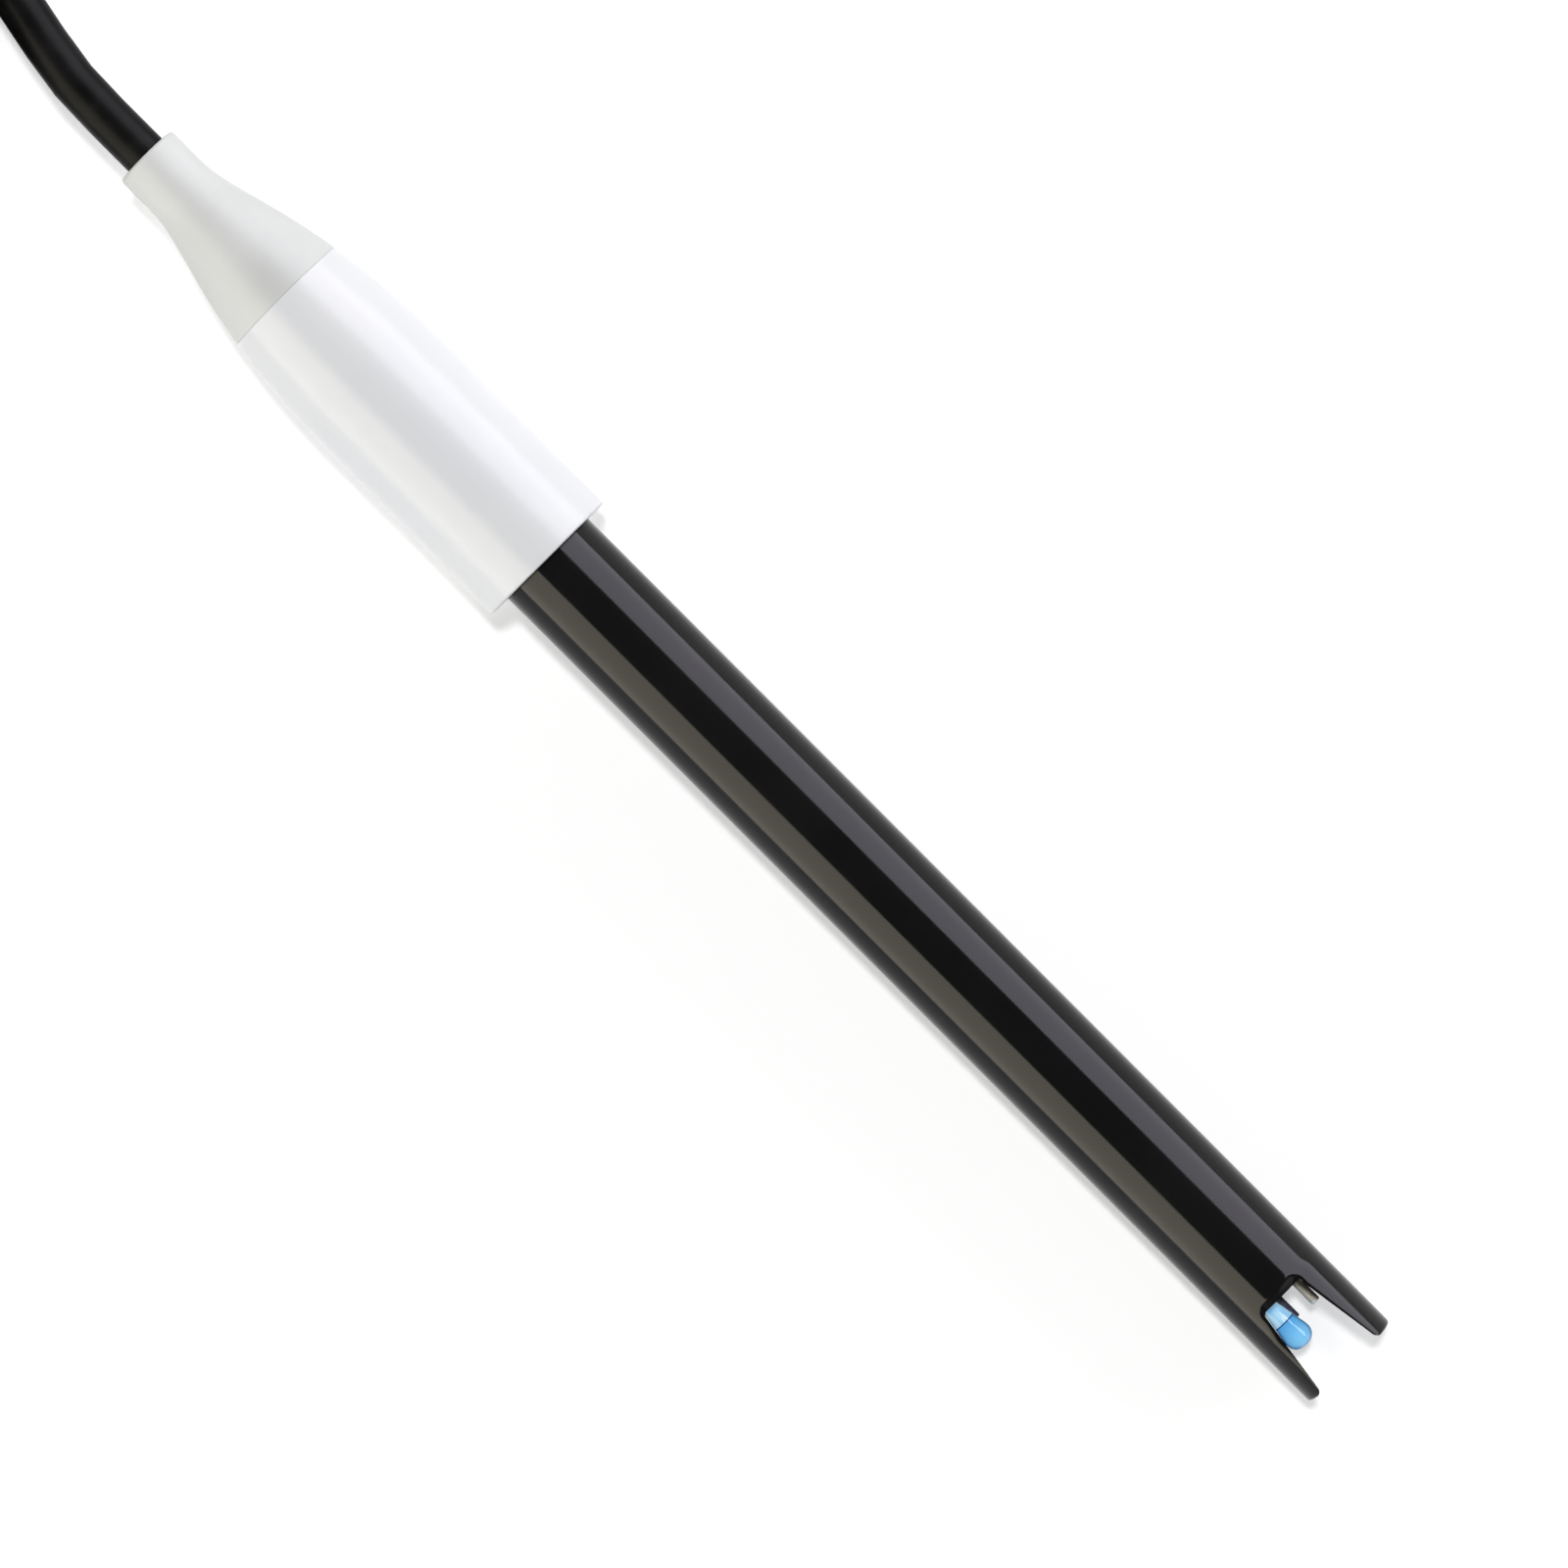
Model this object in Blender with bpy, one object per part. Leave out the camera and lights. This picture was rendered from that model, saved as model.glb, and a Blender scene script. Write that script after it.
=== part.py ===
"""A combination pH electrode with its cable and bayonet plug, lying on a bench. Metres, +Z up, the tip towards +X.

Sizes of the electrode run along its own axis from the rim of the cap, positive towards the tip. Sizes of the plug run
from its front face towards the cable.
"""

import math

import bmesh
import bpy
from mathutils import Vector

MM = 0.001

# Clearances
SEAT_GAP = 0.3 * MM
GLASS_GAP = 0.1 * MM
SEAM_GAP = 0.2 * MM

# Black tube
BODY_RADIUS = 6.0 * MM
BODY_WALL = 1.2 * MM
BODY_LENGTH = 120.0 * MM
TIP_ROUND = 0.4 * MM

# Slot that leaves two guard arms at the tip
SLOT_DEPTH = 10.4 * MM
SLOT_ROOT_HALF = 3.2 * MM
SLOT_MOUTH_HALF = 4.1 * MM
SLOT_ROOT_FILLET = 0.8 * MM
SLOT_MOUTH_ROUND = 1.2 * MM
SLOT_SHIFT = -0.3 * MM
SLOT_FLARE = 0.25

# White cap and its boot
CAP_LENGTH = 60.0 * MM
CAP_RADIUS = 8.35 * MM
CAP_WALL = 1.6 * MM
RIM_ROUND = 0.35 * MM
NECK_RADIUS = 3.79 * MM
NECK_LENGTH = 4.4 * MM
NECK_ROUND = 0.5 * MM
FLARE_LENGTH = 31.7 * MM
FLARE_NECK_PULL = 5.8 * MM
FLARE_CAP_PULL = 19.9 * MM
BOOT_LENGTH = 20.9 * MM
BOOT_SPIGOT = 4.0 * MM
STOP_RIB_HEIGHT = 1.4 * MM
STOP_RIB_WIDTH = 1.6 * MM
GASKET_THICKNESS = 1.0 * MM

# Inner glass tube and bulb
GLASS_OFFSET = -1.9 * MM
GLASS_WALL = 0.3 * MM
TUBE_RADIUS = 1.8 * MM
NECK_GLASS_RADIUS = 0.81 * MM
SHOULDER_LENGTH = 3.0 * MM
CONE_SLOPE = 0.18
CONE_LENGTH = 2.5 * MM
BULB_REACH = 5.96 * MM
BULB_CONE_LENGTH = 1.7 * MM
BULB_SIDE_PULL = 0.85 * MM
BULB_END_PULL = 1.25 * MM
FILL_LENGTH = 2.3 * MM
WIRE_RADIUS = 0.22 * MM
WIRE_DIP = 4.0 * MM

# Bulkhead, junction pin and reference rod
BULKHEAD_RECESS = 0.4 * MM
BULKHEAD_LENGTH = 7.0 * MM
PIN_RADIUS = 0.55 * MM
PIN_OFFSET = 2.0 * MM
PIN_REACH = 3.4 * MM
PIN_ROUND = 0.2 * MM
ROD_RADIUS = 0.55 * MM
ROD_OFFSET = -0.75 * MM
ROD_DROP = -2.35 * MM
ROD_REACH = 3.4 * MM
ROD_LENGTH = 75.0 * MM
ROD_LEAD_RADIUS = 0.3 * MM

# Gel and top seal
GEL_HEADSPACE = 6.0 * MM
TOP_SEAL_LENGTH = 8.0 * MM
TOP_SEAL_RECESS = 4.0 * MM
TUBE_PROUD = 1.2 * MM
WIRE_PROUD = 1.8 * MM

# Conductors and clamp in the cap
LEAD_RADIUS = 0.5 * MM
LEAD_SPREAD = 1.2 * MM
LEAD_STRAIGHT = 1.6 * MM
SLEEVE_BORE = 0.75 * MM
SLEEVE_WALL = 0.3 * MM
SLEEVE_LENGTH = 3.6 * MM
CLAMP_LENGTH = 2.5 * MM
CLAMP_WALL = 1.3 * MM
JACKET_PROUD = 0.5 * MM
LEAD_ROOM = 13.1 * MM

# Cable
CABLE_RADIUS = 2.5 * MM
HANK_RUN = 84.0 * MM
HANK_TURN_RADIUS = 15.0 * MM
HANK_LAYERS = 3
HANK_NEAR_X = -122.5 * MM
HANK_MIDDLE_Y = -17.0 * MM
HANK_LANE_END = 5.0 * MM
TIE_WIDTH = 4.0 * MM
TIE_THICKNESS = 1.0 * MM
TIE_HEAD = 4.0 * MM
TIE_TAIL = 4.0 * MM

# Bayonet plug
PLUG_FRONT_X = -268.5 * MM
PLUG_Y = 1.0 * MM
RING_RADIUS = 7.2 * MM
RING_NOSE_RADIUS = 6.9 * MM
RING_RIB_DEPTH = 0.25 * MM
RING_LENGTH = 12.5 * MM
RING_NOSE_LENGTH = 7.0 * MM
RING_FRONT_BORE = 5.0 * MM
RING_REAR_BORE = 5.75 * MM
RING_FRONT_BORE_LENGTH = 6.2 * MM
RING_EDGE = 0.3 * MM
TRACK_WIDTH = 2.3 * MM
TRACK_FRONT = 1.9 * MM
TRACK_RAMP = 2.5 * MM
TRACK_TURN = math.radians(80.0)
KEYWAY_RADIUS = 6.3 * MM
FINGER_RADIUS = 4.05 * MM
FINGER_WALL = 0.5 * MM
FINGER_SETBACK = 0.9 * MM
FINGER_LENGTH = 5.3 * MM
FINGER_SLIT = 0.5 * MM
FLANGE_RADIUS = 5.4 * MM
FLANGE_FRONT = 7.8 * MM
FLANGE_THICKNESS = 1.2 * MM
PLUG_NECK_RADIUS = 4.4 * MM
COLLAR_RADIUS = 4.8 * MM
COLLAR_FRONT = 13.2 * MM
COLLAR_LENGTH = 2.2 * MM
STEM_RADIUS = 2.4 * MM
STEM_BORE = 1.5 * MM
STEM_LENGTH = 6.3 * MM
WASHER_INNER = 4.7 * MM
WASHER_OUTER = 5.3 * MM
WASHER_THICKNESS = 0.25 * MM
WASHER_WAVE = 0.3 * MM
WASHER_WAVES = 3
CLIP_OUTER = 6.0 * MM
CLIP_THICKNESS = 0.8 * MM
CLIP_OPENING = math.radians(36.0)
PLUG_EDGE = 0.2 * MM
PLUG_FLOOR = 1.0 * MM
SEAL_OUTER = 5.2 * MM
SEAL_THICKNESS = 0.6 * MM
INSULATOR_FRONT = 5.5 * MM
CONTACT_RADIUS = 0.675 * MM
CONTACT_FRONT = 2.4 * MM
CRIMP_WALL = 0.6 * MM
CRIMP_LENGTH = 9.3 * MM
PLUG_BOOT_END = 42.0 * MM
PLUG_BOOT_WALL = 0.9 * MM
PLUG_BOOT_END_RADIUS = 3.6 * MM
PLUG_BOOT_GROOVES = 3
PLUG_BOOT_GROOVE_DEPTH = 0.45 * MM
PLUG_BOOT_GROOVE_PITCH = 2.4 * MM
PLUG_BOOT_GROOVE_WIDTH = 0.6 * MM

# Facets round each turned piece
FINE = 48
MEDIUM = 32
SMALL = 20
THIN = 12

# The tube reaches into the cap up to the room that the conductors need behind the boot
BODY_INSERT = CAP_LENGTH - BOOT_LENGTH - LEAD_ROOM

# The cap's rim and the slot's root rest on the bench, so the axis drops towards the tip
ROOT = BODY_LENGTH - SLOT_DEPTH
REST_TILT = math.atan2(CAP_RADIUS - BODY_RADIUS, ROOT + RIM_ROUND)
RIM_X = -0.5 * (BODY_LENGTH - CAP_LENGTH) * math.cos(REST_TILT)
RIM_Z = CAP_RADIUS * math.cos(REST_TILT) - RIM_ROUND * math.sin(REST_TILT)

# Route of the cable from the cap to the hank, and from the hank to the plug, in millimetres
CABLE_ROUTE = [
    (-61.95, 0.0, 9.02), (-70.0, 0.0, 9.20), (-80.0, 0.0, 9.41), (-90.0, 0.0, 9.62), (-96.0, 0.0, 9.68),
    (-101.0, 0.15, 9.48), (-106.0, 0.90, 8.98), (-111.0, 1.90, 8.38), (-116.6, 2.80, 7.78),
]
TAIL_ROUTE = [
    (-212.4, 2.85, 7.47), (-216.0, 2.35, 7.40), (-220.0, 1.55, 7.29), (-224.0, 1.05, 7.21),
    (-228.0, 1.0, 7.2), (-236.0, 1.0, 7.2), (-246.2, 1.0, 7.2),
]
ROUTE_STEP = 10.0 * MM


def clear_scene():
    for obj in list(bpy.data.objects):
        bpy.data.objects.remove(obj, do_unlink=True)


def material(name, colour, roughness, metallic=0.0, alpha=1.0):
    made = bpy.data.materials.new(name)
    made.use_nodes = True
    shader = made.node_tree.nodes["Principled BSDF"]
    shader.inputs["Base Color"].default_value = (*colour, 1.0)
    shader.inputs["Roughness"].default_value = roughness
    shader.inputs["Metallic"].default_value = metallic
    shader.inputs["Alpha"].default_value = alpha
    made.diffuse_color = (*colour, alpha)
    return made


def add_empty(name, location, rotation=(0.0, 0.0, 0.0)):
    obj = bpy.data.objects.new(name, None)
    obj.location = location
    obj.rotation_euler = rotation
    bpy.context.scene.collection.objects.link(obj)
    return obj


def add_mesh(name, bm, finish, parent=None, place=(0.0, 0.0, 0.0)):
    """Turns a bmesh into an object whose faces all point out, with round walls shaded smooth."""
    bmesh.ops.recalc_face_normals(bm, faces=bm.faces[:])
    if bm.calc_volume(signed=True) < 0.0:
        bmesh.ops.reverse_faces(bm, faces=bm.faces[:])
    mesh = bpy.data.meshes.new(name)
    bm.to_mesh(mesh)
    bm.free()
    mesh.shade_smooth()
    mesh.set_sharp_from_angle(angle=math.radians(30.0))
    mesh.materials.append(finish)
    obj = bpy.data.objects.new(name, mesh)
    obj.parent = parent
    obj.location = place
    bpy.context.scene.collection.objects.link(obj)
    return obj


def turned_shape(outline, steps, closed=True):
    """Spins an outline of (distance along X, radius). An open outline starts and ends on the axis."""
    bm = bmesh.new()
    verts = [bm.verts.new((along, 0.0, radius)) for along, radius in outline]
    pairs = list(zip(verts, verts[1:]))
    if closed:
        pairs.append((verts[-1], verts[0]))
    edges = [bm.edges.new(pair) for pair in pairs]
    bmesh.ops.spin(bm, geom=verts + edges, cent=(0.0, 0.0, 0.0), axis=(1.0, 0.0, 0.0),
                   angle=math.tau, steps=steps, use_merge=True)
    bmesh.ops.remove_doubles(bm, verts=bm.verts[:], dist=1e-7)
    return bm


def turned(name, outline, steps, finish, parent, place=(0.0, 0.0, 0.0), closed=True):
    return add_mesh(name, turned_shape(outline, steps, closed), finish, parent, place)


def tube_outline(start, end, outer, inner):
    return [(start, inner), (start, outer), (end, outer), (end, inner)]


def lofted_shape(sections):
    """Joins rings of points, each with as many points as the next, and closes both ends."""
    bm = bmesh.new()
    rings = [[bm.verts.new(point) for point in section] for section in sections]
    for ring, following in zip(rings, rings[1:]):
        for i, vert in enumerate(ring):
            after = (i + 1) % len(ring)
            bm.faces.new((vert, ring[after], following[after], following[i]))
    bm.faces.new(rings[0])
    bm.faces.new(list(reversed(rings[-1])))
    return bm


def arc(centre, radius, start, end, count):
    """Points on a round corner, with both ends, as (along, across)."""
    angles = [start + (end - start) * i / (count - 1) for i in range(count)]
    return [(centre[0] + radius * math.cos(a), centre[1] + radius * math.sin(a)) for a in angles]


def bezier(handles, share):
    """The point at this share of a cubic curve."""
    rest = 1.0 - share
    weights = (rest ** 3, 3.0 * rest ** 2 * share, 3.0 * rest * share ** 2, share ** 3)
    return tuple(sum(w * handle[i] for w, handle in zip(weights, handles)) for i in range(2))


def curve_points(handles, start, end, count):
    return [bezier(handles, start + (end - start) * i / (count - 1)) for i in range(count)]


def cut(obj, cutter):
    cutter.hide_render = True
    cutter.display_type = "WIRE"
    modifier = obj.modifiers.new("cut_" + cutter.name, "BOOLEAN")
    modifier.operation = "DIFFERENCE"
    modifier.object = cutter


def smooth_route(points, step):
    """Points about a step apart on a smooth curve through the route's own points."""
    ends = [2.0 * points[0] - points[1]] + points + [2.0 * points[-1] - points[-2]]
    found = []
    for i in range(1, len(ends) - 2):
        before, here, there, after = ends[i - 1:i + 3]
        count = max(1, round((there - here).length / step))
        for k in range(count):
            t = k / count
            found.append(0.5 * (2.0 * here + (there - before) * t
                                + (2.0 * before - 5.0 * here + 4.0 * there - after) * t ** 2
                                + (3.0 * here - before - 3.0 * there + after) * t ** 3))
    return found + [points[-1]]


def add_tube(name, points, radius, finish, parent=None, sides_level=3):
    """A round wire or cable along these points, with closed ends."""
    curve = bpy.data.curves.new(name, "CURVE")
    curve.dimensions = "3D"
    curve.bevel_depth = radius
    curve.bevel_resolution = sides_level
    curve.use_fill_caps = True
    spline = curve.splines.new("POLY")
    spline.points.add(len(points) - 1)
    for slot, point in zip(spline.points, points):
        slot.co = (*point, 1.0)
    curve.materials.append(finish)
    obj = bpy.data.objects.new(name, curve)
    obj.parent = parent
    bpy.context.scene.collection.objects.link(obj)
    return obj


# The outline of the cap, from its neck to its full width, is one curve that the boot and the shell share

FLARE = [
    (NECK_LENGTH, NECK_RADIUS),
    (NECK_LENGTH + FLARE_NECK_PULL, NECK_RADIUS),
    (NECK_LENGTH + FLARE_LENGTH - FLARE_CAP_PULL, CAP_RADIUS),
    (NECK_LENGTH + FLARE_LENGTH, CAP_RADIUS),
]


def flare_share(distance):
    """The share of the curve at this distance from the cap's top."""
    low, high = 0.0, 1.0
    for _ in range(40):
        middle = 0.5 * (low + high)
        if bezier(FLARE, middle)[0] < distance:
            low = middle
        else:
            high = middle
    return low


def cap_outline(start, end, count):
    """The cap's outer line between two distances from its top, as (place on the axis, radius)."""
    points = curve_points(FLARE, flare_share(start), flare_share(end), count)
    return [(distance - CAP_LENGTH, radius) for distance, radius in points]


def slot_outline(grow):
    """The guard's slot seen from above, made larger all round by grow."""
    root = ROOT - grow
    half_root = SLOT_ROOT_HALF + grow
    half_mouth = SLOT_MOUTH_HALF + grow
    fillet = SLOT_ROOT_FILLET
    bend = SLOT_MOUTH_ROUND
    side = arc((root + fillet, half_root - fillet), fillet, math.pi, 0.5 * math.pi, 5)
    side += arc((BODY_LENGTH - bend, half_mouth + bend), bend, -0.5 * math.pi, 0.0, 6)
    side.append((BODY_LENGTH + bend, half_mouth + bend))
    mirrored = [(along, -across) for along, across in reversed(side)]
    return [(along, across + SLOT_SHIFT) for along, across in side + mirrored]


def make_body_tube(axis, finish):
    bore = BODY_RADIUS - BODY_WALL
    outline = [(-BODY_INSERT, bore), (-BODY_INSERT, BODY_RADIUS)]
    outline += arc((BODY_LENGTH - TIP_ROUND, BODY_RADIUS - TIP_ROUND), TIP_ROUND, 0.5 * math.pi, 0.0, 4)
    outline.append((BODY_LENGTH, bore))
    body = turned("body_tube", outline, FINE, finish, axis)
    half_height = BODY_RADIUS + SLOT_MOUTH_ROUND
    sections = []
    for height, level in ((-half_height, half_height), (0.0, 0.0), (half_height, half_height)):
        grow = SLOT_FLARE * (level - BODY_RADIUS)
        sections.append([(x, y, height) for x, y in slot_outline(grow)])
    cut(body, add_mesh("slot_cutter", lofted_shape(sections), finish, axis))
    return body


def make_cap(axis, shell_finish, boot_finish, gasket_finish):
    seam = -(CAP_LENGTH - BOOT_LENGTH)
    socket = BODY_RADIUS + SEAT_GAP
    stop_face = -(BODY_INSERT + 2.0 * SEAT_GAP + GASKET_THICKNESS)
    stop_bore = BODY_RADIUS - STOP_RIB_HEIGHT + SEAT_GAP
    outer = cap_outline(BOOT_LENGTH, NECK_LENGTH + FLARE_LENGTH, 9)
    rim = arc((-RIM_ROUND, CAP_RADIUS - RIM_ROUND), RIM_ROUND, 0.5 * math.pi, 0.0, 3)
    cavity_foot = stop_face - STOP_RIB_WIDTH
    cavity_length = seam - cavity_foot
    inner = []
    for i in range(4):
        along = cavity_foot + cavity_length * i / 3
        outer_here = bezier(FLARE, flare_share(along + CAP_LENGTH))[1]
        inner.append((along, outer_here - CAP_WALL))
    stop = [(0.0, socket), (stop_face, socket), (stop_face, stop_bore), (cavity_foot, stop_bore)]
    turned("cap_shell", outer + rim + stop + inner, FINE, shell_finish, axis)

    top = -CAP_LENGTH
    boot = arc((top + NECK_ROUND, NECK_RADIUS - NECK_ROUND), NECK_ROUND, math.pi, 0.5 * math.pi, 3)
    boot += cap_outline(NECK_LENGTH, BOOT_LENGTH - SEAM_GAP, 11)
    seam_radius = bezier(FLARE, flare_share(BOOT_LENGTH))[1]
    spigot = seam_radius - CAP_WALL - SEAT_GAP
    bore = CABLE_RADIUS + SEAT_GAP
    spigot_end = seam + BOOT_SPIGOT
    boot += [(seam - SEAM_GAP, spigot), (spigot_end, spigot), (spigot_end, bore), (top, bore)]
    turned("strain_relief_boot", boot, FINE, boot_finish, axis)

    ring_start = stop_face + SEAT_GAP
    ring = tube_outline(ring_start, ring_start + GASKET_THICKNESS, BODY_RADIUS, stop_bore)
    turned("cap_gasket", ring, MEDIUM, gasket_finish, axis)
    return spigot_end


def cone_radius(along):
    return NECK_GLASS_RADIUS + CONE_SLOPE * (along - ROOT)


def bulb_outline(start, shrink, count):
    """The bulb's outline from its open end to its pole, made smaller by shrink."""
    side = ROOT + CONE_LENGTH + BULB_CONE_LENGTH
    pole = ROOT + BULB_REACH - shrink
    handles = [
        (side, cone_radius(side) - shrink),
        (side + BULB_SIDE_PULL, cone_radius(side + BULB_SIDE_PULL) - shrink),
        (pole, BULB_END_PULL - shrink),
        (pole, 0.0),
    ]
    return [(start, cone_radius(start) - shrink)] + curve_points(handles, 0.0, 1.0, count)


def make_glass(axis, stem_finish, bulb_finish, fill_finish, wire_finish):
    place = (0.0, GLASS_OFFSET, 0.0)
    bulkhead_back = ROOT - BULKHEAD_RECESS - BULKHEAD_LENGTH
    shoulder = bulkhead_back - SEAT_GAP - SHOULDER_LENGTH
    glass_top = -(BODY_INSERT - TOP_SEAL_RECESS) - TUBE_PROUD
    seam = ROOT + CONE_LENGTH
    outer = [
        (glass_top, TUBE_RADIUS),
        (shoulder, TUBE_RADIUS),
        (shoulder + SHOULDER_LENGTH, NECK_GLASS_RADIUS),
        (ROOT, NECK_GLASS_RADIUS),
        (seam, cone_radius(seam)),
    ]
    inner = [(along, radius - GLASS_WALL) for along, radius in reversed(outer)]
    turned("glass_stem", outer + inner, SMALL, stem_finish, axis, place)

    start = seam + GLASS_GAP
    skin = list(reversed(bulb_outline(start, 0.0, 9))) + bulb_outline(start, GLASS_WALL, 7)
    turned("ph_bulb", skin, SMALL, bulb_finish, axis, place, closed=False)

    fill_start = ROOT + BULB_REACH - GLASS_WALL - GLASS_GAP - FILL_LENGTH
    filled = bulb_outline(fill_start, GLASS_WALL + GLASS_GAP, 6)
    well = ROOT + WIRE_DIP + GLASS_GAP
    hole = WIRE_RADIUS + GLASS_GAP
    core = [(well, 0.0), (well, hole), (fill_start, hole)]
    turned("bulb_fill", core + filled, SMALL, fill_finish, axis, place, closed=False)

    wire_top = glass_top - WIRE_PROUD
    wire_end = ROOT + WIRE_DIP
    wire = [(wire_top, 0.0), (wire_top, WIRE_RADIUS), (wire_end, WIRE_RADIUS), (wire_end, 0.0)]
    turned("inner_wire", wire, THIN, wire_finish, axis, place, closed=False)
    return wire_top


def add_bore(name, place, radius, start, end, steps, finish, axis):
    outline = [(start, 0.0), (start, radius), (end, radius), (end, 0.0)]
    return turned(name, outline, steps, finish, axis, place, closed=False)


def make_seals(axis, seal_finish, pin_finish, rod_finish, gel_finish):
    seat = BODY_RADIUS - BODY_WALL - SEAT_GAP
    face = ROOT - BULKHEAD_RECESS
    back = face - BULKHEAD_LENGTH
    top_face = -(BODY_INSERT - TOP_SEAL_RECESS)
    top_back = top_face + TOP_SEAL_LENGTH
    glass_place = (0.0, GLASS_OFFSET, 0.0)
    pin_place = (0.0, PIN_OFFSET, 0.0)
    rod_place = (0.0, ROD_OFFSET, ROD_DROP)
    rod_back = ROOT + ROD_REACH - ROD_LENGTH
    through = SEAT_GAP

    bulkhead = add_bore("bulkhead", (0.0, 0.0, 0.0), seat, back, face, MEDIUM, seal_finish, axis)
    neck_hole = NECK_GLASS_RADIUS + SEAT_GAP
    pin_hole = PIN_RADIUS + SEAT_GAP
    rod_hole = ROD_RADIUS + SEAT_GAP
    cut(bulkhead, add_bore("bulkhead_stem_hole", glass_place, neck_hole, back - through, face + through,
                           SMALL, seal_finish, axis))
    cut(bulkhead, add_bore("bulkhead_pin_hole", pin_place, pin_hole, back - through, face + through,
                           SMALL, seal_finish, axis))
    cut(bulkhead, add_bore("bulkhead_rod_hole", rod_place, rod_hole, back - through, face + through,
                           SMALL, seal_finish, axis))

    pin_end = ROOT + PIN_REACH
    pin = [(back, 0.0), (back, PIN_RADIUS)]
    pin += arc((pin_end - PIN_ROUND, PIN_RADIUS - PIN_ROUND), PIN_ROUND, 0.5 * math.pi, 0.0, 4)
    pin.append((pin_end, 0.0))
    turned("reference_junction", pin, SMALL, pin_finish, axis, pin_place, closed=False)

    rod_end = ROOT + ROD_REACH
    lead_top = top_face - TUBE_PROUD - WIRE_PROUD
    rod = [(lead_top, 0.0), (lead_top, ROD_LEAD_RADIUS), (rod_back, ROD_LEAD_RADIUS), (rod_back, ROD_RADIUS)]
    rod += arc((rod_end - PIN_ROUND, ROD_RADIUS - PIN_ROUND), PIN_ROUND, 0.5 * math.pi, 0.0, 4)
    rod.append((rod_end, 0.0))
    turned("reference_rod", rod, SMALL, rod_finish, axis, rod_place, closed=False)

    gel_top = top_back + GEL_HEADSPACE
    gel_end = back - SEAT_GAP
    gel = add_bore("reference_gel", (0.0, 0.0, 0.0), seat, gel_top, gel_end, MEDIUM, gel_finish, axis)
    cut(gel, add_bore("gel_tube_hole", glass_place, TUBE_RADIUS + SEAT_GAP, gel_top - through,
                      gel_end + through, SMALL, gel_finish, axis))
    cut(gel, add_bore("gel_rod_hole", rod_place, rod_hole, gel_top - through, gel_end + through,
                      SMALL, gel_finish, axis))

    top_seal = add_bore("top_seal", (0.0, 0.0, 0.0), seat, top_face, top_back, MEDIUM, seal_finish, axis)
    cut(top_seal, add_bore("top_tube_hole", glass_place, TUBE_RADIUS + SEAT_GAP, top_face - through,
                           top_back + through, SMALL, seal_finish, axis))
    lead_hole = ROD_LEAD_RADIUS + SEAT_GAP
    cut(top_seal, add_bore("top_lead_hole", rod_place, lead_hole, top_face - through, top_back + through,
                           THIN, seal_finish, axis))


def make_leads(axis, joint, spigot_end, copper, core_finish, screen_finish, sleeve_finish):
    """The cable's clamp in the cap, and its two conductors up to the joints."""
    clamp_start = spigot_end + SEAT_GAP
    clamp_end = clamp_start + CLAMP_LENGTH
    bore = CABLE_RADIUS + SEAT_GAP
    turned("cable_clamp", tube_outline(clamp_start, clamp_end, bore + CLAMP_WALL, bore), MEDIUM, copper, axis)

    jacket_end = clamp_end + JACKET_PROUD
    lead_start = jacket_end + SEAT_GAP
    lead_end = joint - SEAT_GAP
    bend_end = lead_end - LEAD_STRAIGHT
    ends = {
        "core": (0.5 * LEAD_SPREAD, (GLASS_OFFSET, 0.0), core_finish),
        "screen": (-0.5 * LEAD_SPREAD, (ROD_OFFSET, ROD_DROP), screen_finish),
    }
    for name, (start, target, finish) in ends.items():
        points = []
        for i in range(7):
            share = i / 6
            ease = share * share * (3.0 - 2.0 * share)
            along = lead_start + (bend_end - lead_start) * share
            across = start + (target[0] - start) * ease
            height = start + (target[1] - start) * ease
            points.append((along, across, height))
        points.append((lead_end, target[0], target[1]))
        add_tube(name + "_lead", points, LEAD_RADIUS, finish, axis, sides_level=1)
        sleeve_start = joint - 0.5 * SLEEVE_LENGTH
        outline = tube_outline(sleeve_start, sleeve_start + SLEEVE_LENGTH, SLEEVE_BORE + SLEEVE_WALL,
                               SLEEVE_BORE)
        turned(name + "_sleeve", outline, THIN, sleeve_finish, axis, (0.0, target[0], target[1]))


def hank_reach(share):
    """How far the runs lie from the hank's middle, at this share of the way from one head to the other."""
    return CABLE_RADIUS + (HANK_TURN_RADIUS - CABLE_RADIUS) * math.cos(math.pi * share) ** 2


def hank_outline():
    """The hank from above: two round heads, runs drawn together at the waist, and a lane where the cord enters."""
    head = HANK_TURN_RADIUS + CABLE_RADIUS
    lane = 2.0 * CABLE_RADIUS
    face = math.acos(HANK_LANE_END / head)
    near = (HANK_NEAR_X, HANK_MIDDLE_Y)
    far = (HANK_NEAR_X - HANK_RUN, HANK_MIDDLE_Y)
    shares = [i / 12 for i in range(13)]
    points = arc(near, head, -0.5 * math.pi, face, 11)
    points.append((near[0] + HANK_LANE_END, HANK_MIDDLE_Y + head + lane))
    for share in shares:
        points.append((near[0] - HANK_RUN * share, HANK_MIDDLE_Y + hank_reach(share) + CABLE_RADIUS + lane))
    points.append((far[0] - HANK_LANE_END, HANK_MIDDLE_Y + head + lane))
    points += arc(far, head, math.pi - face, 1.5 * math.pi, 11)
    for share in shares[1:-1]:
        points.append((far[0] + HANK_RUN * share, HANK_MIDDLE_Y - hank_reach(share) - CABLE_RADIUS))
    return points


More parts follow.
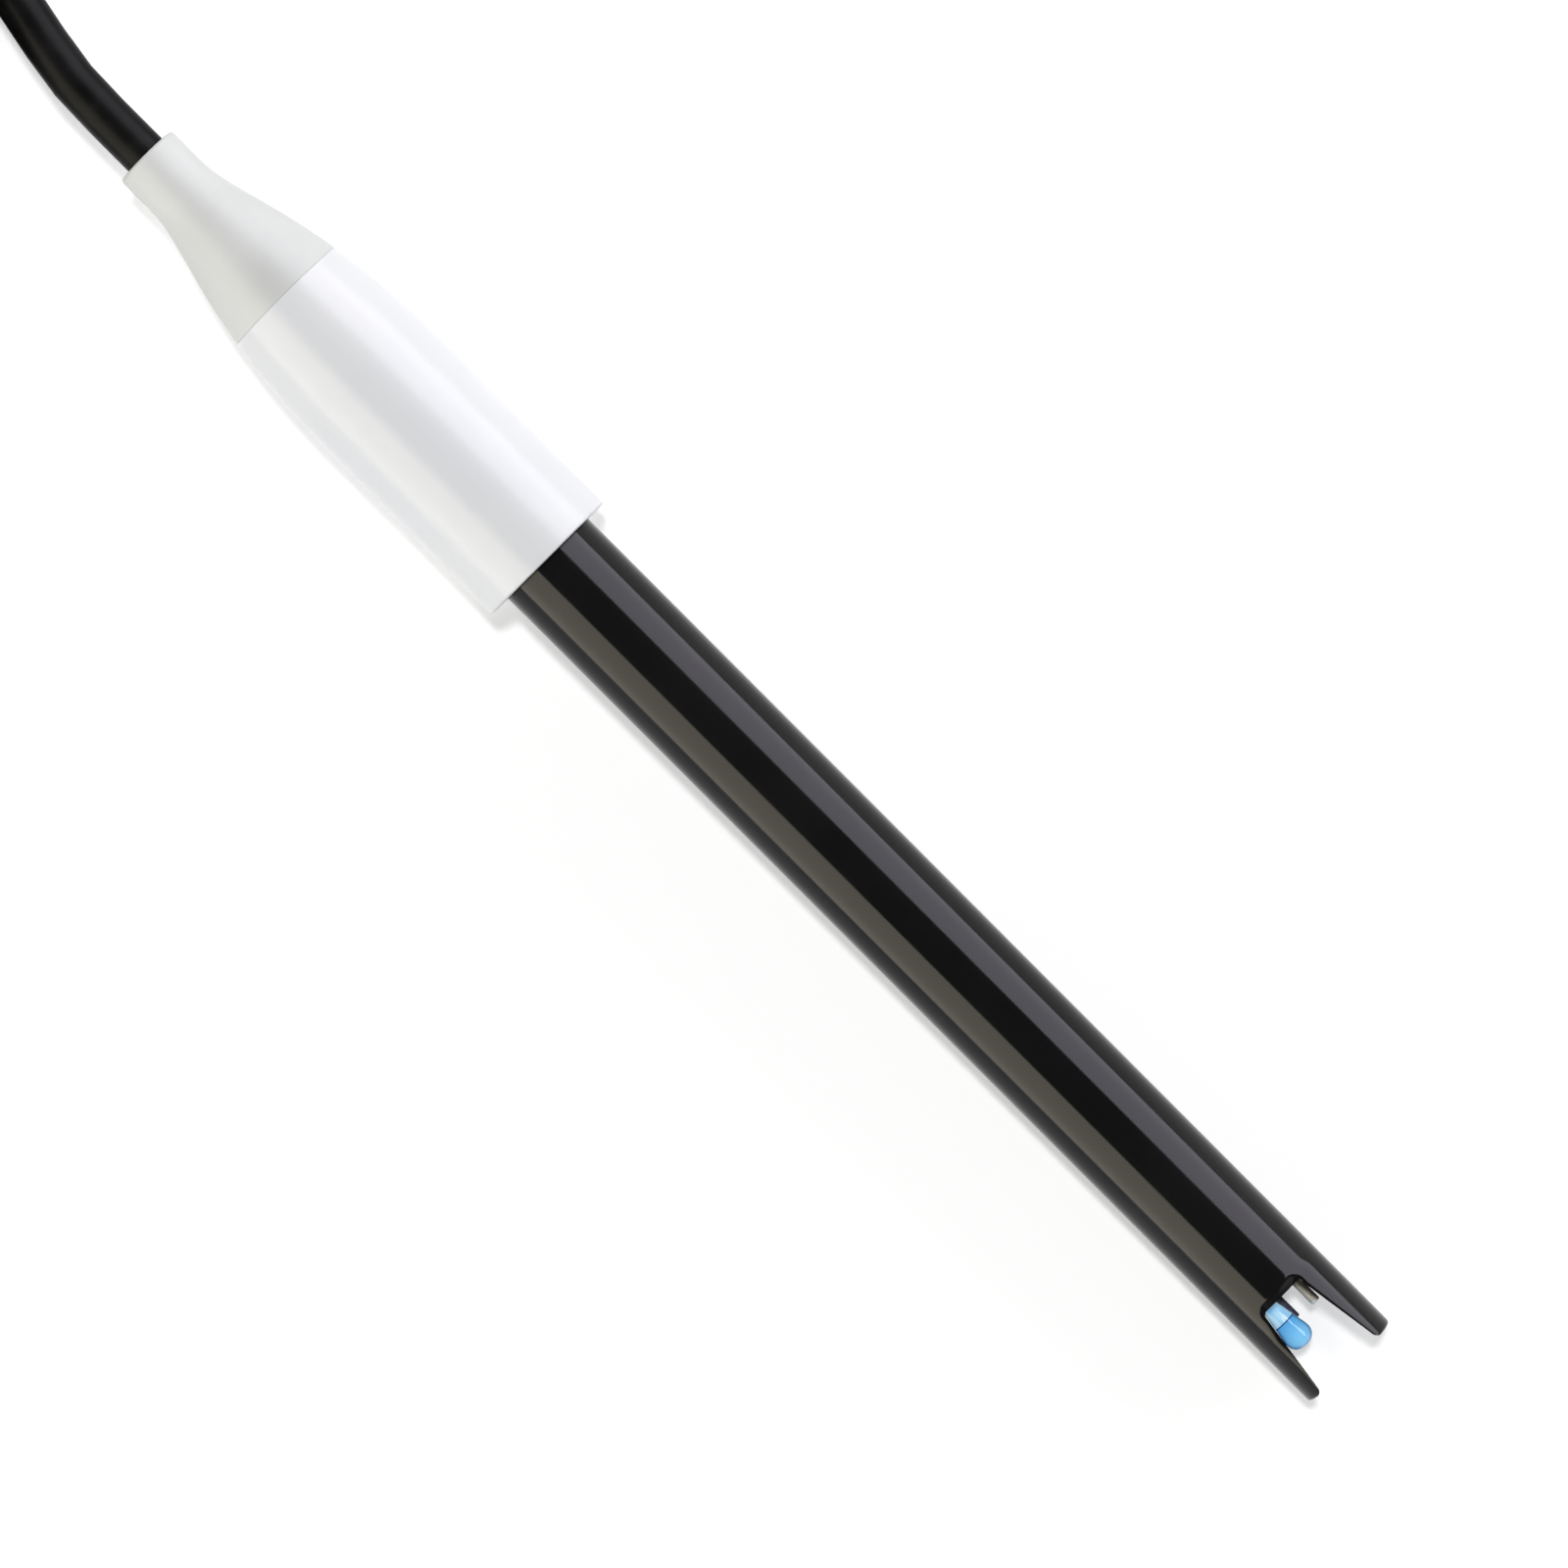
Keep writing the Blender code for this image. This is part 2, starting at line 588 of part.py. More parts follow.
def tie_outline(half, top):
    """The outer edge of the band round the hank's waist, from the side, with its head and tail: y and height."""
    corner = 3.0 * TIE_THICKNESS
    head_top = top + 0.5 * TIE_HEAD
    outer = arc((half - corner, corner), corner, -0.5 * math.pi, 0.0, 4)
    outer += [(half, top - TIE_THICKNESS), (half - TIE_THICKNESS, top)]
    outer += [(TIE_HEAD, top), (TIE_HEAD, top + TIE_TAIL), (TIE_HEAD - TIE_THICKNESS, top + TIE_TAIL)]
    outer += [(TIE_HEAD - TIE_THICKNESS, head_top), (0.0, head_top), (0.0, top)]
    outer += [(TIE_THICKNESS - half, top), (-half, top - TIE_THICKNESS)]
    outer += arc((corner - half, corner), corner, math.pi, 1.5 * math.pi, 4)
    return outer


def block(x_half, y_half, low, high):
    """The two ends of a box about the tie's middle, as sections across X."""
    corners = [(-y_half, low), (y_half, low), (y_half, high), (-y_half, high)]
    return [[(x, y, z) for y, z in corners] for x in (-x_half, x_half)]


def make_cable(cable_finish, tie_finish):
    for name, route in {"cable": CABLE_ROUTE, "cable_tail": TAIL_ROUTE}.items():
        points = smooth_route([Vector(point) * MM for point in route], ROUTE_STEP)
        add_tube(name, points, CABLE_RADIUS, cable_finish, sides_level=4)

    depth = TIE_THICKNESS + SEAT_GAP
    height = 2.0 * CABLE_RADIUS * HANK_LAYERS + depth
    levels = [[(x, y, z) for x, y in hank_outline()] for z in (0.0, height)]
    hank = add_mesh("cable_hank", lofted_shape(levels), cable_finish)
    waist = (HANK_NEAR_X - 0.5 * HANK_RUN, HANK_MIDDLE_Y + CABLE_RADIUS, 0.0)
    groove = block(0.5 * TIE_WIDTH + SEAT_GAP, HANK_TURN_RADIUS, -depth, depth)
    groove_cutter = add_mesh("tie_groove", lofted_shape(groove), cable_finish, place=waist)
    cut(hank, groove_cutter)

    half = 3.0 * CABLE_RADIUS + SEAT_GAP
    outline = tie_outline(half + TIE_THICKNESS, height + SEAT_GAP + TIE_THICKNESS)
    sides = [[(x, y, z) for y, z in outline] for x in (-0.5 * TIE_WIDTH, 0.5 * TIE_WIDTH)]
    tie = add_mesh("cable_tie", lofted_shape(sides), tie_finish, place=waist)
    window = block(TIE_WIDTH, half, TIE_THICKNESS, height + SEAT_GAP)
    cut(tie, add_mesh("tie_window", lofted_shape(window), tie_finish, place=waist))


def around_ring(along, around, radius, angle):
    """A point at this radius, with its distance round the ring measured on the ring's nose from this angle."""
    turn = angle + around / RING_NOSE_RADIUS
    return (along, radius * math.sin(turn), radius * math.cos(turn))


def track_cutter(name, angle, finish, axis):
    """A slanted window through the ring's wall, with round ends, which draws the mating pin in."""
    half = 0.5 * TRACK_WIDTH
    length = TRACK_TURN * RING_NOSE_RADIUS
    ends = [half * (1.0 - math.cos(0.5 * math.pi * i / 4)) for i in range(4)]
    middle = [half + (length - TRACK_WIDTH) * i / 10 for i in range(11)]
    stations = ends + middle + [length - end for end in reversed(ends)]
    slope = TRACK_RAMP / length
    tilt = math.hypot(1.0, slope)
    low = RING_FRONT_BORE - RING_EDGE
    high = RING_NOSE_RADIUS + RING_EDGE
    sections = []
    for station in stations:
        from_end = min(station, length - station, half)
        reach = max(math.sqrt(half ** 2 - (half - from_end) ** 2), 0.01 * half) / tilt
        along = TRACK_FRONT + slope * station
        sections.append([
            around_ring(along + side * reach, station - side * slope * reach, radius, angle)
            for side, radius in ((-1, low), (1, low), (1, high), (-1, high))
        ])
    return add_mesh(name, lofted_shape(sections), finish, axis)


def keyway_cutter(name, angle, finish, axis):
    """A groove inside the ring's nose, from its front to the start of the window."""
    half = 0.5 * TRACK_WIDTH
    low = RING_FRONT_BORE - RING_EDGE
    corners = ((0.0, low), (TRACK_WIDTH, low), (TRACK_WIDTH, KEYWAY_RADIUS), (0.0, KEYWAY_RADIUS))
    sections = [[around_ring(along, around, radius, angle) for around, radius in corners]
                for along in (-RING_EDGE, TRACK_FRONT + half)]
    return add_mesh(name, lofted_shape(sections), finish, axis)


def make_coupling_ring(axis, finish):
    edge = RING_EDGE
    clip_front = clip_start()
    groove = CLIP_OUTER + SEAT_GAP
    outline = [
        (0.0, RING_FRONT_BORE), (0.0, RING_NOSE_RADIUS - edge), (edge, RING_NOSE_RADIUS),
        (RING_NOSE_LENGTH, RING_NOSE_RADIUS), (RING_NOSE_LENGTH + edge, RING_RADIUS),
        (RING_LENGTH - edge, RING_RADIUS), (RING_LENGTH, RING_RADIUS - edge), (RING_LENGTH, RING_REAR_BORE),
        (clip_front + CLIP_THICKNESS + SEAT_GAP, RING_REAR_BORE),
        (clip_front + CLIP_THICKNESS + SEAT_GAP, groove),
        (clip_front - SEAT_GAP, groove), (clip_front - SEAT_GAP, RING_REAR_BORE),
        (RING_FRONT_BORE_LENGTH, RING_REAR_BORE), (RING_FRONT_BORE_LENGTH, RING_FRONT_BORE),
    ]
    ribs = 2 * MEDIUM
    bm = turned_shape(outline, ribs)
    for vert in bm.verts:
        radius = math.hypot(vert.co.y, vert.co.z)
        if radius < RING_RADIUS - 0.1 * RING_RIB_DEPTH:
            continue
        turn = round(math.atan2(vert.co.y, vert.co.z) / math.tau * ribs)
        if turn % 2:
            shrink = (radius - RING_RIB_DEPTH) / radius
            vert.co.y *= shrink
            vert.co.z *= shrink
    ring = add_mesh("coupling_ring", bm, finish, axis)
    for side, angle in {"upper": 0.25 * math.pi, "lower": 1.25 * math.pi}.items():
        cut(ring, track_cutter(side + "_track", angle, finish, axis))
        cut(ring, keyway_cutter(side + "_keyway", angle, finish, axis))


def washer_centre():
    return FLANGE_FRONT + FLANGE_THICKNESS + SEAT_GAP + WASHER_WAVE + 0.5 * WASHER_THICKNESS


def clip_start():
    return washer_centre() + WASHER_WAVE + 0.5 * WASHER_THICKNESS + SEAT_GAP


def make_washer(axis, finish):
    """A sprung ring, bent into waves."""
    bm = bmesh.new()
    rings = []
    for i in range(FINE):
        angle = math.tau * i / FINE
        middle = washer_centre() + WASHER_WAVE * math.cos(WASHER_WAVES * angle)
        ring = []
        for radius, side in ((WASHER_INNER, -1), (WASHER_OUTER, -1), (WASHER_OUTER, 1), (WASHER_INNER, 1)):
            along = middle + 0.5 * side * WASHER_THICKNESS
            ring.append(bm.verts.new((along, radius * math.cos(angle), radius * math.sin(angle))))
        rings.append(ring)
    for i, ring in enumerate(rings):
        following = rings[(i + 1) % FINE]
        for k in range(4):
            after = (k + 1) % 4
            bm.faces.new((ring[k], ring[after], following[after], following[k]))
    add_mesh("wave_washer", bm, finish, axis)


def make_clip(axis, finish):
    """An open ring that sits in the coupling ring's groove and bears on the washer."""
    start = clip_start()
    inner = PLUG_NECK_RADIUS + SEAT_GAP
    count = MEDIUM
    sections = []
    for i in range(count + 1):
        angle = 0.5 * CLIP_OPENING + (math.tau - CLIP_OPENING) * i / count
        sections.append([
            (along, radius * math.sin(angle), radius * math.cos(angle))
            for along, radius in tube_outline(start, start + CLIP_THICKNESS, CLIP_OUTER, inner)
        ])
    add_mesh("retaining_clip", lofted_shape(sections), finish, axis)


def make_plug_body(axis, finish):
    bore = FINGER_RADIUS - FINGER_WALL
    collar_end = COLLAR_FRONT + COLLAR_LENGTH
    floor = collar_end - PLUG_FLOOR
    stem_end = collar_end + STEM_LENGTH
    flange_back = FLANGE_FRONT + FLANGE_THICKNESS
    edge = PLUG_EDGE
    outline = [
        (FINGER_SETBACK, bore), (FINGER_SETBACK, FINGER_RADIUS - edge), (FINGER_SETBACK + edge, FINGER_RADIUS),
        (FLANGE_FRONT, FINGER_RADIUS), (FLANGE_FRONT, FLANGE_RADIUS), (flange_back, FLANGE_RADIUS),
        (flange_back, PLUG_NECK_RADIUS), (COLLAR_FRONT, PLUG_NECK_RADIUS), (COLLAR_FRONT, COLLAR_RADIUS - edge),
        (COLLAR_FRONT + edge, COLLAR_RADIUS), (collar_end, COLLAR_RADIUS), (collar_end, STEM_RADIUS),
        (stem_end, STEM_RADIUS), (stem_end, STEM_BORE), (floor, STEM_BORE), (floor, bore),
    ]
    body = turned("plug_body", outline, MEDIUM, finish, axis)
    half = 0.5 * FINGER_SLIT
    reach = FINGER_RADIUS + FINGER_WALL
    end = FINGER_SETBACK + FINGER_LENGTH
    for name, (wide, tall) in {"slit_flat": (reach, half), "slit_upright": (half, reach)}.items():
        sections = [[(along, y, z) for y, z in ((-wide, -tall), (wide, -tall), (wide, tall), (-wide, tall))]
                    for along in (0.0, end)]
        cut(body, add_mesh(name, lofted_shape(sections), finish, axis))
    return floor


def make_plug_inside(axis, floor, seal_finish, insulator_finish, contact_finish):
    seal_start = FLANGE_FRONT - SEAT_GAP - SEAL_THICKNESS
    turned("plug_gasket", tube_outline(seal_start, seal_start + SEAL_THICKNESS, SEAL_OUTER,
                                       FINGER_RADIUS + SEAT_GAP), MEDIUM, seal_finish, axis)
    hole = CONTACT_RADIUS + SEAT_GAP
    outer = FINGER_RADIUS - FINGER_WALL - SEAT_GAP
    turned("plug_insulator", tube_outline(INSULATOR_FRONT, floor - SEAT_GAP, outer, hole), MEDIUM,
           insulator_finish, axis)
    end = floor - 2.0 * SEAT_GAP
    nose = arc((CONTACT_FRONT + CONTACT_RADIUS, 0.0), CONTACT_RADIUS, math.pi, 0.5 * math.pi, 5)
    contact = nose + [(end, CONTACT_RADIUS), (end, 0.0)]
    turned("centre_pin", contact, SMALL, contact_finish, axis, closed=False)


def make_plug_rear(axis, crimp_finish, boot_finish):
    start = COLLAR_FRONT + COLLAR_LENGTH + SEAT_GAP
    end = start + CRIMP_LENGTH
    bore = CABLE_RADIUS + SEAT_GAP
    crimp = bore + CRIMP_WALL
    turned("crimp_sleeve", tube_outline(start, end, crimp, bore), MEDIUM, crimp_finish, axis)

    front = start + SEAT_GAP
    over = crimp + SEAT_GAP
    outer = over + PLUG_BOOT_WALL
    stop = end + SEAT_GAP
    groove_start = PLUG_BOOT_END - (PLUG_BOOT_GROOVES + 0.5) * PLUG_BOOT_GROOVE_PITCH

    def skin(along):
        share = (along - front) / (PLUG_BOOT_END - front)
        return outer + (PLUG_BOOT_END_RADIUS - outer) * share ** 1.5

    outline = [(front, over), (front, outer)]
    outline += [(along, skin(along)) for along in (stop, groove_start)]
    for i in range(PLUG_BOOT_GROOVES):
        at = groove_start + i * PLUG_BOOT_GROOVE_PITCH
        low = at + PLUG_BOOT_GROOVE_WIDTH
        high = low + PLUG_BOOT_GROOVE_WIDTH
        outline += [(low, skin(low)), (low, skin(low) - PLUG_BOOT_GROOVE_DEPTH)]
        outline += [(high, skin(high) - PLUG_BOOT_GROOVE_DEPTH), (high, skin(high))]
    outline += [(PLUG_BOOT_END, PLUG_BOOT_END_RADIUS), (PLUG_BOOT_END, bore), (stop, bore), (stop, over)]
    turned("plug_boot", outline, MEDIUM, boot_finish, axis)


clear_scene()

BLACK = material("black_moulding", (0.012, 0.012, 0.013), 0.15)
WHITE = material("white_moulding", (0.86, 0.87, 0.88), 0.2)
BOOT_WHITE = material("matte_boot", (0.72, 0.73, 0.72), 0.6)
GASKET = material("grey_gasket", (0.25, 0.25, 0.26), 0.7)
PALE_GLASS = material("pale_glass", (0.62, 0.84, 0.97), 0.05, alpha=0.6)
BLUE_GLASS = material("blue_glass", (0.16, 0.5, 0.82), 0.05, alpha=0.6)
BLUE_GEL = material("blue_gel", (0.2, 0.6, 0.9), 0.3)
SILVER = material("silver", (0.8, 0.79, 0.77), 0.3, metallic=1.0)
RESIN = material("black_resin", (0.015, 0.015, 0.016), 0.5)
CERAMIC = material("tan_ceramic", (0.45, 0.42, 0.36), 0.6)
CHLORIDE = material("chloride_coat", (0.1, 0.09, 0.14), 0.45, metallic=0.3)
SALT_GEL = material("salt_gel", (0.85, 0.86, 0.84), 0.3, alpha=0.6)
COPPER = material("copper", (0.85, 0.5, 0.35), 0.35, metallic=1.0)
CORE_SKIN = material("core_insulation", (0.85, 0.85, 0.83), 0.4)
SCREEN_SKIN = material("screen_insulation", (0.1, 0.1, 0.1), 0.5)
SLEEVE = material("shrink_sleeve", (0.5, 0.03, 0.03), 0.5)
CABLE = material("cable_jacket", (0.012, 0.012, 0.012), 0.4)
TIE = material("tie_nylon", (0.03, 0.03, 0.03), 0.45)
NICKEL = material("nickel_plate", (0.72, 0.71, 0.68), 0.22, metallic=1.0)
SPRING = material("spring_steel", (0.6, 0.6, 0.6), 0.3, metallic=1.0)
SILICONE = material("red_silicone", (0.5, 0.08, 0.05), 0.6)
PTFE = material("white_insulator", (0.9, 0.9, 0.88), 0.4)
GOLD = material("gold_plate", (0.9, 0.7, 0.3), 0.2, metallic=1.0)
PLUG_RUBBER = material("plug_rubber", (0.02, 0.02, 0.02), 0.6)

electrode_axis = add_empty("electrode_axis", (RIM_X, 0.0, RIM_Z), (0.0, REST_TILT, 0.0))
plug_axis = add_empty("plug_axis", (PLUG_FRONT_X, PLUG_Y, RING_RADIUS))

make_body_tube(electrode_axis, BLACK)
spigot_face = make_cap(electrode_axis, WHITE, BOOT_WHITE, GASKET)
joint_at = make_glass(electrode_axis, PALE_GLASS, BLUE_GLASS, BLUE_GEL, SILVER)
make_seals(electrode_axis, RESIN, CERAMIC, CHLORIDE, SALT_GEL)
make_leads(electrode_axis, joint_at, spigot_face, COPPER, CORE_SKIN, SCREEN_SKIN, SLEEVE)
make_cable(CABLE, TIE)
make_coupling_ring(plug_axis, NICKEL)
make_washer(plug_axis, SPRING)
make_clip(plug_axis, SPRING)
body_floor = make_plug_body(plug_axis, NICKEL)
make_plug_inside(plug_axis, body_floor, SILICONE, PTFE, GOLD)
make_plug_rear(plug_axis, NICKEL, PLUG_RUBBER)
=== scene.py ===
"""A combination pH electrode lying on a white bench, seen from above, with its cable put away in a hank."""

import math

import bmesh
import bpy
from mathutils import Matrix, Vector


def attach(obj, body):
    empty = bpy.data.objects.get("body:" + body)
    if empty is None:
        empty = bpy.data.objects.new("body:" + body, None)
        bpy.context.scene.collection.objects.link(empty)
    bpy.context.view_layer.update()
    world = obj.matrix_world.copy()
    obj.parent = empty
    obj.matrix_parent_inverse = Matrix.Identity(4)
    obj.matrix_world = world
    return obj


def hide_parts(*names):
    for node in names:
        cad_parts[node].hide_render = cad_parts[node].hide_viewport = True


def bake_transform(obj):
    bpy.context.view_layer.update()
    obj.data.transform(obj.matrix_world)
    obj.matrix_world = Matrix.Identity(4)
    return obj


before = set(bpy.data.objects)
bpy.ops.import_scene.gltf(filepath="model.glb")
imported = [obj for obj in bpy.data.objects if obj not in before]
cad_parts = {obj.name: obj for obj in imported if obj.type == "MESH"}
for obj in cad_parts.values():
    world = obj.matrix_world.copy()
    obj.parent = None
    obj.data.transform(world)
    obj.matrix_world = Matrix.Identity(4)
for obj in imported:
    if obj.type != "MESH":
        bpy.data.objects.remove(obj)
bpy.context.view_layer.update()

# Camera
# The photograph looks straight down through a long lens, and the electrode runs down to the right across its
# square frame, so the camera is turned by that angle.

MM = 0.001
photo_width = 165.7 * MM
photo_turn = math.radians(45.06)
photo_middle = Vector((4.45, 0.82, 7.6)) * MM
lens_length = 250.0
film_width = 36.0

camera = bpy.data.objects.new("camera", bpy.data.cameras.new("camera"))
camera.data.lens = lens_length
camera.data.sensor_width = film_width
camera.data.clip_start = 0.01
camera.data.clip_end = 20.0
camera.location = photo_middle + Vector((0.0, 0.0, photo_width * lens_length / film_width))
camera.rotation_euler = (0.0, 0.0, photo_turn)
bpy.context.scene.collection.objects.link(camera)
bpy.context.scene.camera = camera
bpy.context.scene.view_settings.view_transform = "Standard"

# Bench
# A white bench top under the whole object. It is matt and keeps the object's shadow, and the camera and the
# shiny pieces see it as pure white.

bench_half = 3.0
bench_white = (0.9, 0.9, 0.9)
bench_lift = 0.39


class Signal:
    """A socket of a shader's node tree, so that sums on it read as plain arithmetic."""

    def __init__(self, tree, socket=None):
        self.tree = tree
        self.socket = socket

    def node(self, kind, settings=(), inputs=()):
        """Adds a node with these settings and these values or links, and gives its first output."""
        made = self.tree.nodes.new("ShaderNode" + kind)
        for name, value in dict(settings).items():
            setattr(made, name, value)
        for name, value in dict(inputs).items():
            if isinstance(value, Signal):
                self.tree.links.new(value.socket, made.inputs[name])
            else:
                made.inputs[name].default_value = value
        return Signal(self.tree, made.outputs[0])

    def out(self, name):
        return Signal(self.tree, self.socket.node.outputs[name])

    def math(self, operation, first, second=0.0):
        return self.node("Math", {"operation": operation}, {0: first, 1: second})

    def __add__(self, other):
        return self.math("ADD", self, other)

    def __radd__(self, other):
        return self.math("ADD", other, self)

    def __sub__(self, other):
        return self.math("SUBTRACT", self, other)

    def __rsub__(self, other):
        return self.math("SUBTRACT", other, self)

    def __mul__(self, other):
        return self.math("MULTIPLY", self, other)

    def __rmul__(self, other):
        return self.math("MULTIPLY", other, self)

    def between(self, low, high):
        """0 at the lower value, 1 at the higher one, and smooth between them."""
        return self.node("MapRange", {"interpolation_type": "SMOOTHSTEP"},
                         {"Value": self, "From Min": low, "From Max": high})

    def blend(self, low, high):
        """One colour where this is 0, and the other where it is 1."""
        shades = [shade if isinstance(shade, Signal) else (*shade, 1.0) for shade in (low, high)]
        return self.node("Mix", {"data_type": "RGBA"}, {0: self, 6: shades[0], 7: shades[1]}).out(2)

    def mottled(self, dark, light):
        """A colour that wanders between two tones as this noise does."""
        return self.between(0.3, 0.7).blend(dark, light)

    def noise(self, scale, detail):
        """Cloudy noise at this place."""
        return self.node("TexNoise", (), {"Vector": self, "Scale": scale, "Detail": detail})

    def stretched(self, *scales):
        """This place, with each of its axes scaled."""
        return self.node("Mapping", (), {"Vector": self, "Scale": scales})

    def axis(self, letter):
        return self.node("SeparateXYZ", (), {0: self}).out(letter)

    def bump(self, strength, depth):
        """The normal of a skin that this raises by up to this many millimetres."""
        return self.node("Bump", (), {"Strength": strength, "Distance": depth * MM, "Height": self})


def new_finish(name, **fixed):
    """A material with these values fixed on its shader. Gives it, its shader and the place on the piece."""
    material = bpy.data.materials.new(name)
    material.use_nodes = True
    shader = material.node_tree.nodes["Principled BSDF"]
    for word, value in fixed.items():
        socket = shader.inputs[word.replace("_", " ").title().replace("Ior", "IOR")]
        socket.default_value = (*value, 1.0) if isinstance(value, tuple) and socket.type == "RGBA" else value
    place = Signal(material.node_tree).node("TexCoord").out("Object")
    return material, shader, place


def feed(shader, **signals):
    for word, signal in signals.items():
        signal.tree.links.new(signal.socket, shader.inputs[word.replace("_", " ").title()])


bench_finish, bench_shader, bench_place = new_finish(
    "white_bench", base_color=bench_white, roughness=1.0, specular_ior_level=0.0,
    emission_strength=bench_lift)
rays = bench_place.node("LightPath")
feed(bench_shader, emission_color=rays.out("Is Camera Ray") + rays.out("Is Glossy Ray")
     + rays.out("Is Transmission Ray"))

bench_shape = bmesh.new()
bench_signs = ((-1, -1), (1, -1), (1, 1), (-1, 1))
bench_shape.faces.new([bench_shape.verts.new((x * bench_half, y * bench_half, 0.0)) for x, y in bench_signs])
bench_mesh = bpy.data.meshes.new("bench")
bench_shape.to_mesh(bench_mesh)
bench_shape.free()
bench_mesh.materials.append(bench_finish)
bench = bpy.data.objects.new("bench", bench_mesh)
bpy.context.scene.collection.objects.link(bench)

# Lights
# Two long soft boxes stand along the electrode, one on each side, with a dark gap over it. They draw a
# straight band down each side of the black tube. Each box is two lamps: one lights matt surfaces, and one
# shows in shiny ones. A third light from above casts the short shadow towards the foot of the picture.

box_length = 1.3
light_distance = 0.6
shine_distance = 0.62
boxes = {
    "far_light": {"side": 1, "middle": 72.0, "half": 16.0, "strength": 2.4, "shade": (0.985, 0.985, 1.0)},
    "near_light": {"side": -1, "middle": 72.0, "half": 16.0, "strength": 2.05, "shade": (1.0, 1.0, 0.97)},
    "far_shine": {"side": 1, "middle": 58.0, "half": 26.0, "strength": 7.0, "shade": (0.91, 0.88, 1.0)},
    "near_shine": {"side": -1, "middle": 60.0, "half": 28.0, "strength": 5.8, "shade": (1.0, 0.93, 0.76)},
}
over_strength = 1.32
over_tilt = (math.radians(-6.5), math.radians(-8.5))
over_spread = math.radians(6.0)
sky_light = 0.1


def add_box(name, side, middle, half, strength, shade):
    """A soft box on one side. Its middle and half its width are angles in degrees, as the electrode sees it."""
    distance = shine_distance if name.endswith("shine") else light_distance
    tilt = math.radians(middle)
    width = 2.0 * distance * math.tan(math.radians(half))
    box = bpy.data.objects.new(name, bpy.data.lights.new(name, "AREA"))
    box.data.shape = "RECTANGLE"
    box.data.size = box_length
    box.data.size_y = width
    box.data.energy = strength * math.pi * box_length * width
    box.data.color = shade
    box.location = (0.0, side * distance * math.sin(tilt), distance * math.cos(tilt))
    box.rotation_euler = (side * -tilt, 0.0, 0.0)
    box.visible_glossy = name.endswith("shine")
    box.visible_diffuse = name.endswith("light")
    box.visible_transmission = name.endswith("light")
    bpy.context.scene.collection.objects.link(box)


for box_name, box in boxes.items():
    add_box(box_name, **box)

over = bpy.data.objects.new("over_light", bpy.data.lights.new("over_light", "SUN"))
over.data.energy = over_strength
over.data.angle = over_spread
over.rotation_euler = (*over_tilt, 0.0)
over.visible_glossy = False
bpy.context.scene.collection.objects.link(over)

sky = bpy.data.worlds.new("studio")
sky.use_nodes = True
bpy.context.scene.world = sky
sky_rays = Signal(sky.node_tree).node("LightPath")
sky_height = sky_rays.node("TexCoord").axis("Z")
seen_white = sky_rays.out("Is Camera Ray") + sky_rays.out("Is Transmission Ray")
shiny_white = sky_rays.out("Is Glossy Ray") * (1.0 - sky_height.between(0.05, 0.5))
sky_shade = (seen_white + shiny_white).between(0.0, 1.0)
sky_back = sky.node_tree.nodes["Background"]
sky.node_tree.links.new(sky_shade.blend((sky_light,) * 3, (1.0, 1.0, 1.0)).socket, sky_back.inputs["Color"])

# Black tube
# The electrode's body is one black moulded tube of 12 mm with a polished skin. A slot cut through its end
# leaves two tapered arms, which guard the bulb between them. The cap is pressed over its other end.

# The electrode lies on the cap's rim and on the tube at the slot's root, so its axis drops towards the tip.
# Its own places run along that axis from the rim, in millimetres.

rest_tilt = math.radians(1.2244164)
rim_place = Vector((-29.99315, 0.0, 8.34061)) * MM
electrode_axis = Matrix.Translation(rim_place) @ Matrix.Rotation(rest_tilt, 4, "Y")

tube_radius = 6.0
tube_bore = 4.8
tube_length = 120.0
tube_insert = 26.0
slot_root = 109.6
slot_root_half = 2.63
slot_mouth_half = 4.15
slot_fillet = 0.6
slot_mouth_round = 0.9
slot_shift = -0.26
chamfer_slope = math.tan(math.radians(30.0))
chamfer_ease = 0.1
chamfer_overlap = 0.2
root_chamfer = 1.05
far_chamfer = 0.32
near_chamfer = (0.5, 0.85)
near_chamfer_least = 0.15
near_chamfer_edge = 4.12
near_widening = (1.0, 3.0)
arm_slope = math.tan(math.radians(8.0))
arm_slope_start = 4.6
arm_slope_most = 2.2
arm_slope_along = (-1.6, 1.4)
arm_slope_across = (-1.0, 2.5)
arm_edge = 0.06
arc_steps = 8
sharp_angle = 35.0


def softened(corners, steps=4):
    """An outline of (place, radius, rounding) corners, each drawn as a small arc."""
    points = []
    befores, afters = corners[-1:] + corners, corners[1:] + corners[:1]
    for before, (along, radius, bend), after in zip(befores, corners, afters):
        here = Vector((along, radius))
        if bend == 0.0:
            points.append(here)
            continue
        back = (Vector(before[:2]) - here).normalized() * bend
        onward = (Vector(after[:2]) - here).normalized() * bend
        for step in range(steps + 1):
            share = step / steps
            points.append(here + back * (1.0 - share) ** 2 + onward * share ** 2)
    return points


def smooth_walls(mesh):
    """Shades the round walls smooth and keeps the edges sharp."""
    mesh.shade_smooth()
    mesh.set_sharp_from_angle(angle=math.radians(sharp_angle))


def made_piece(name, shape, axis):
    """Turns a bmesh into an object on this axis, with its faces out and its round walls smooth."""
    bmesh.ops.recalc_face_normals(shape, faces=shape.faces[:])
    if shape.calc_volume(signed=True) < 0.0:
        bmesh.ops.reverse_faces(shape, faces=shape.faces[:])
    mesh = bpy.data.meshes.new(name)
    shape.to_mesh(mesh)
    shape.free()
    smooth_walls(mesh)
    piece = bpy.data.objects.new(name, mesh)
    piece.matrix_world = axis
    bpy.context.scene.collection.objects.link(piece)
    return piece


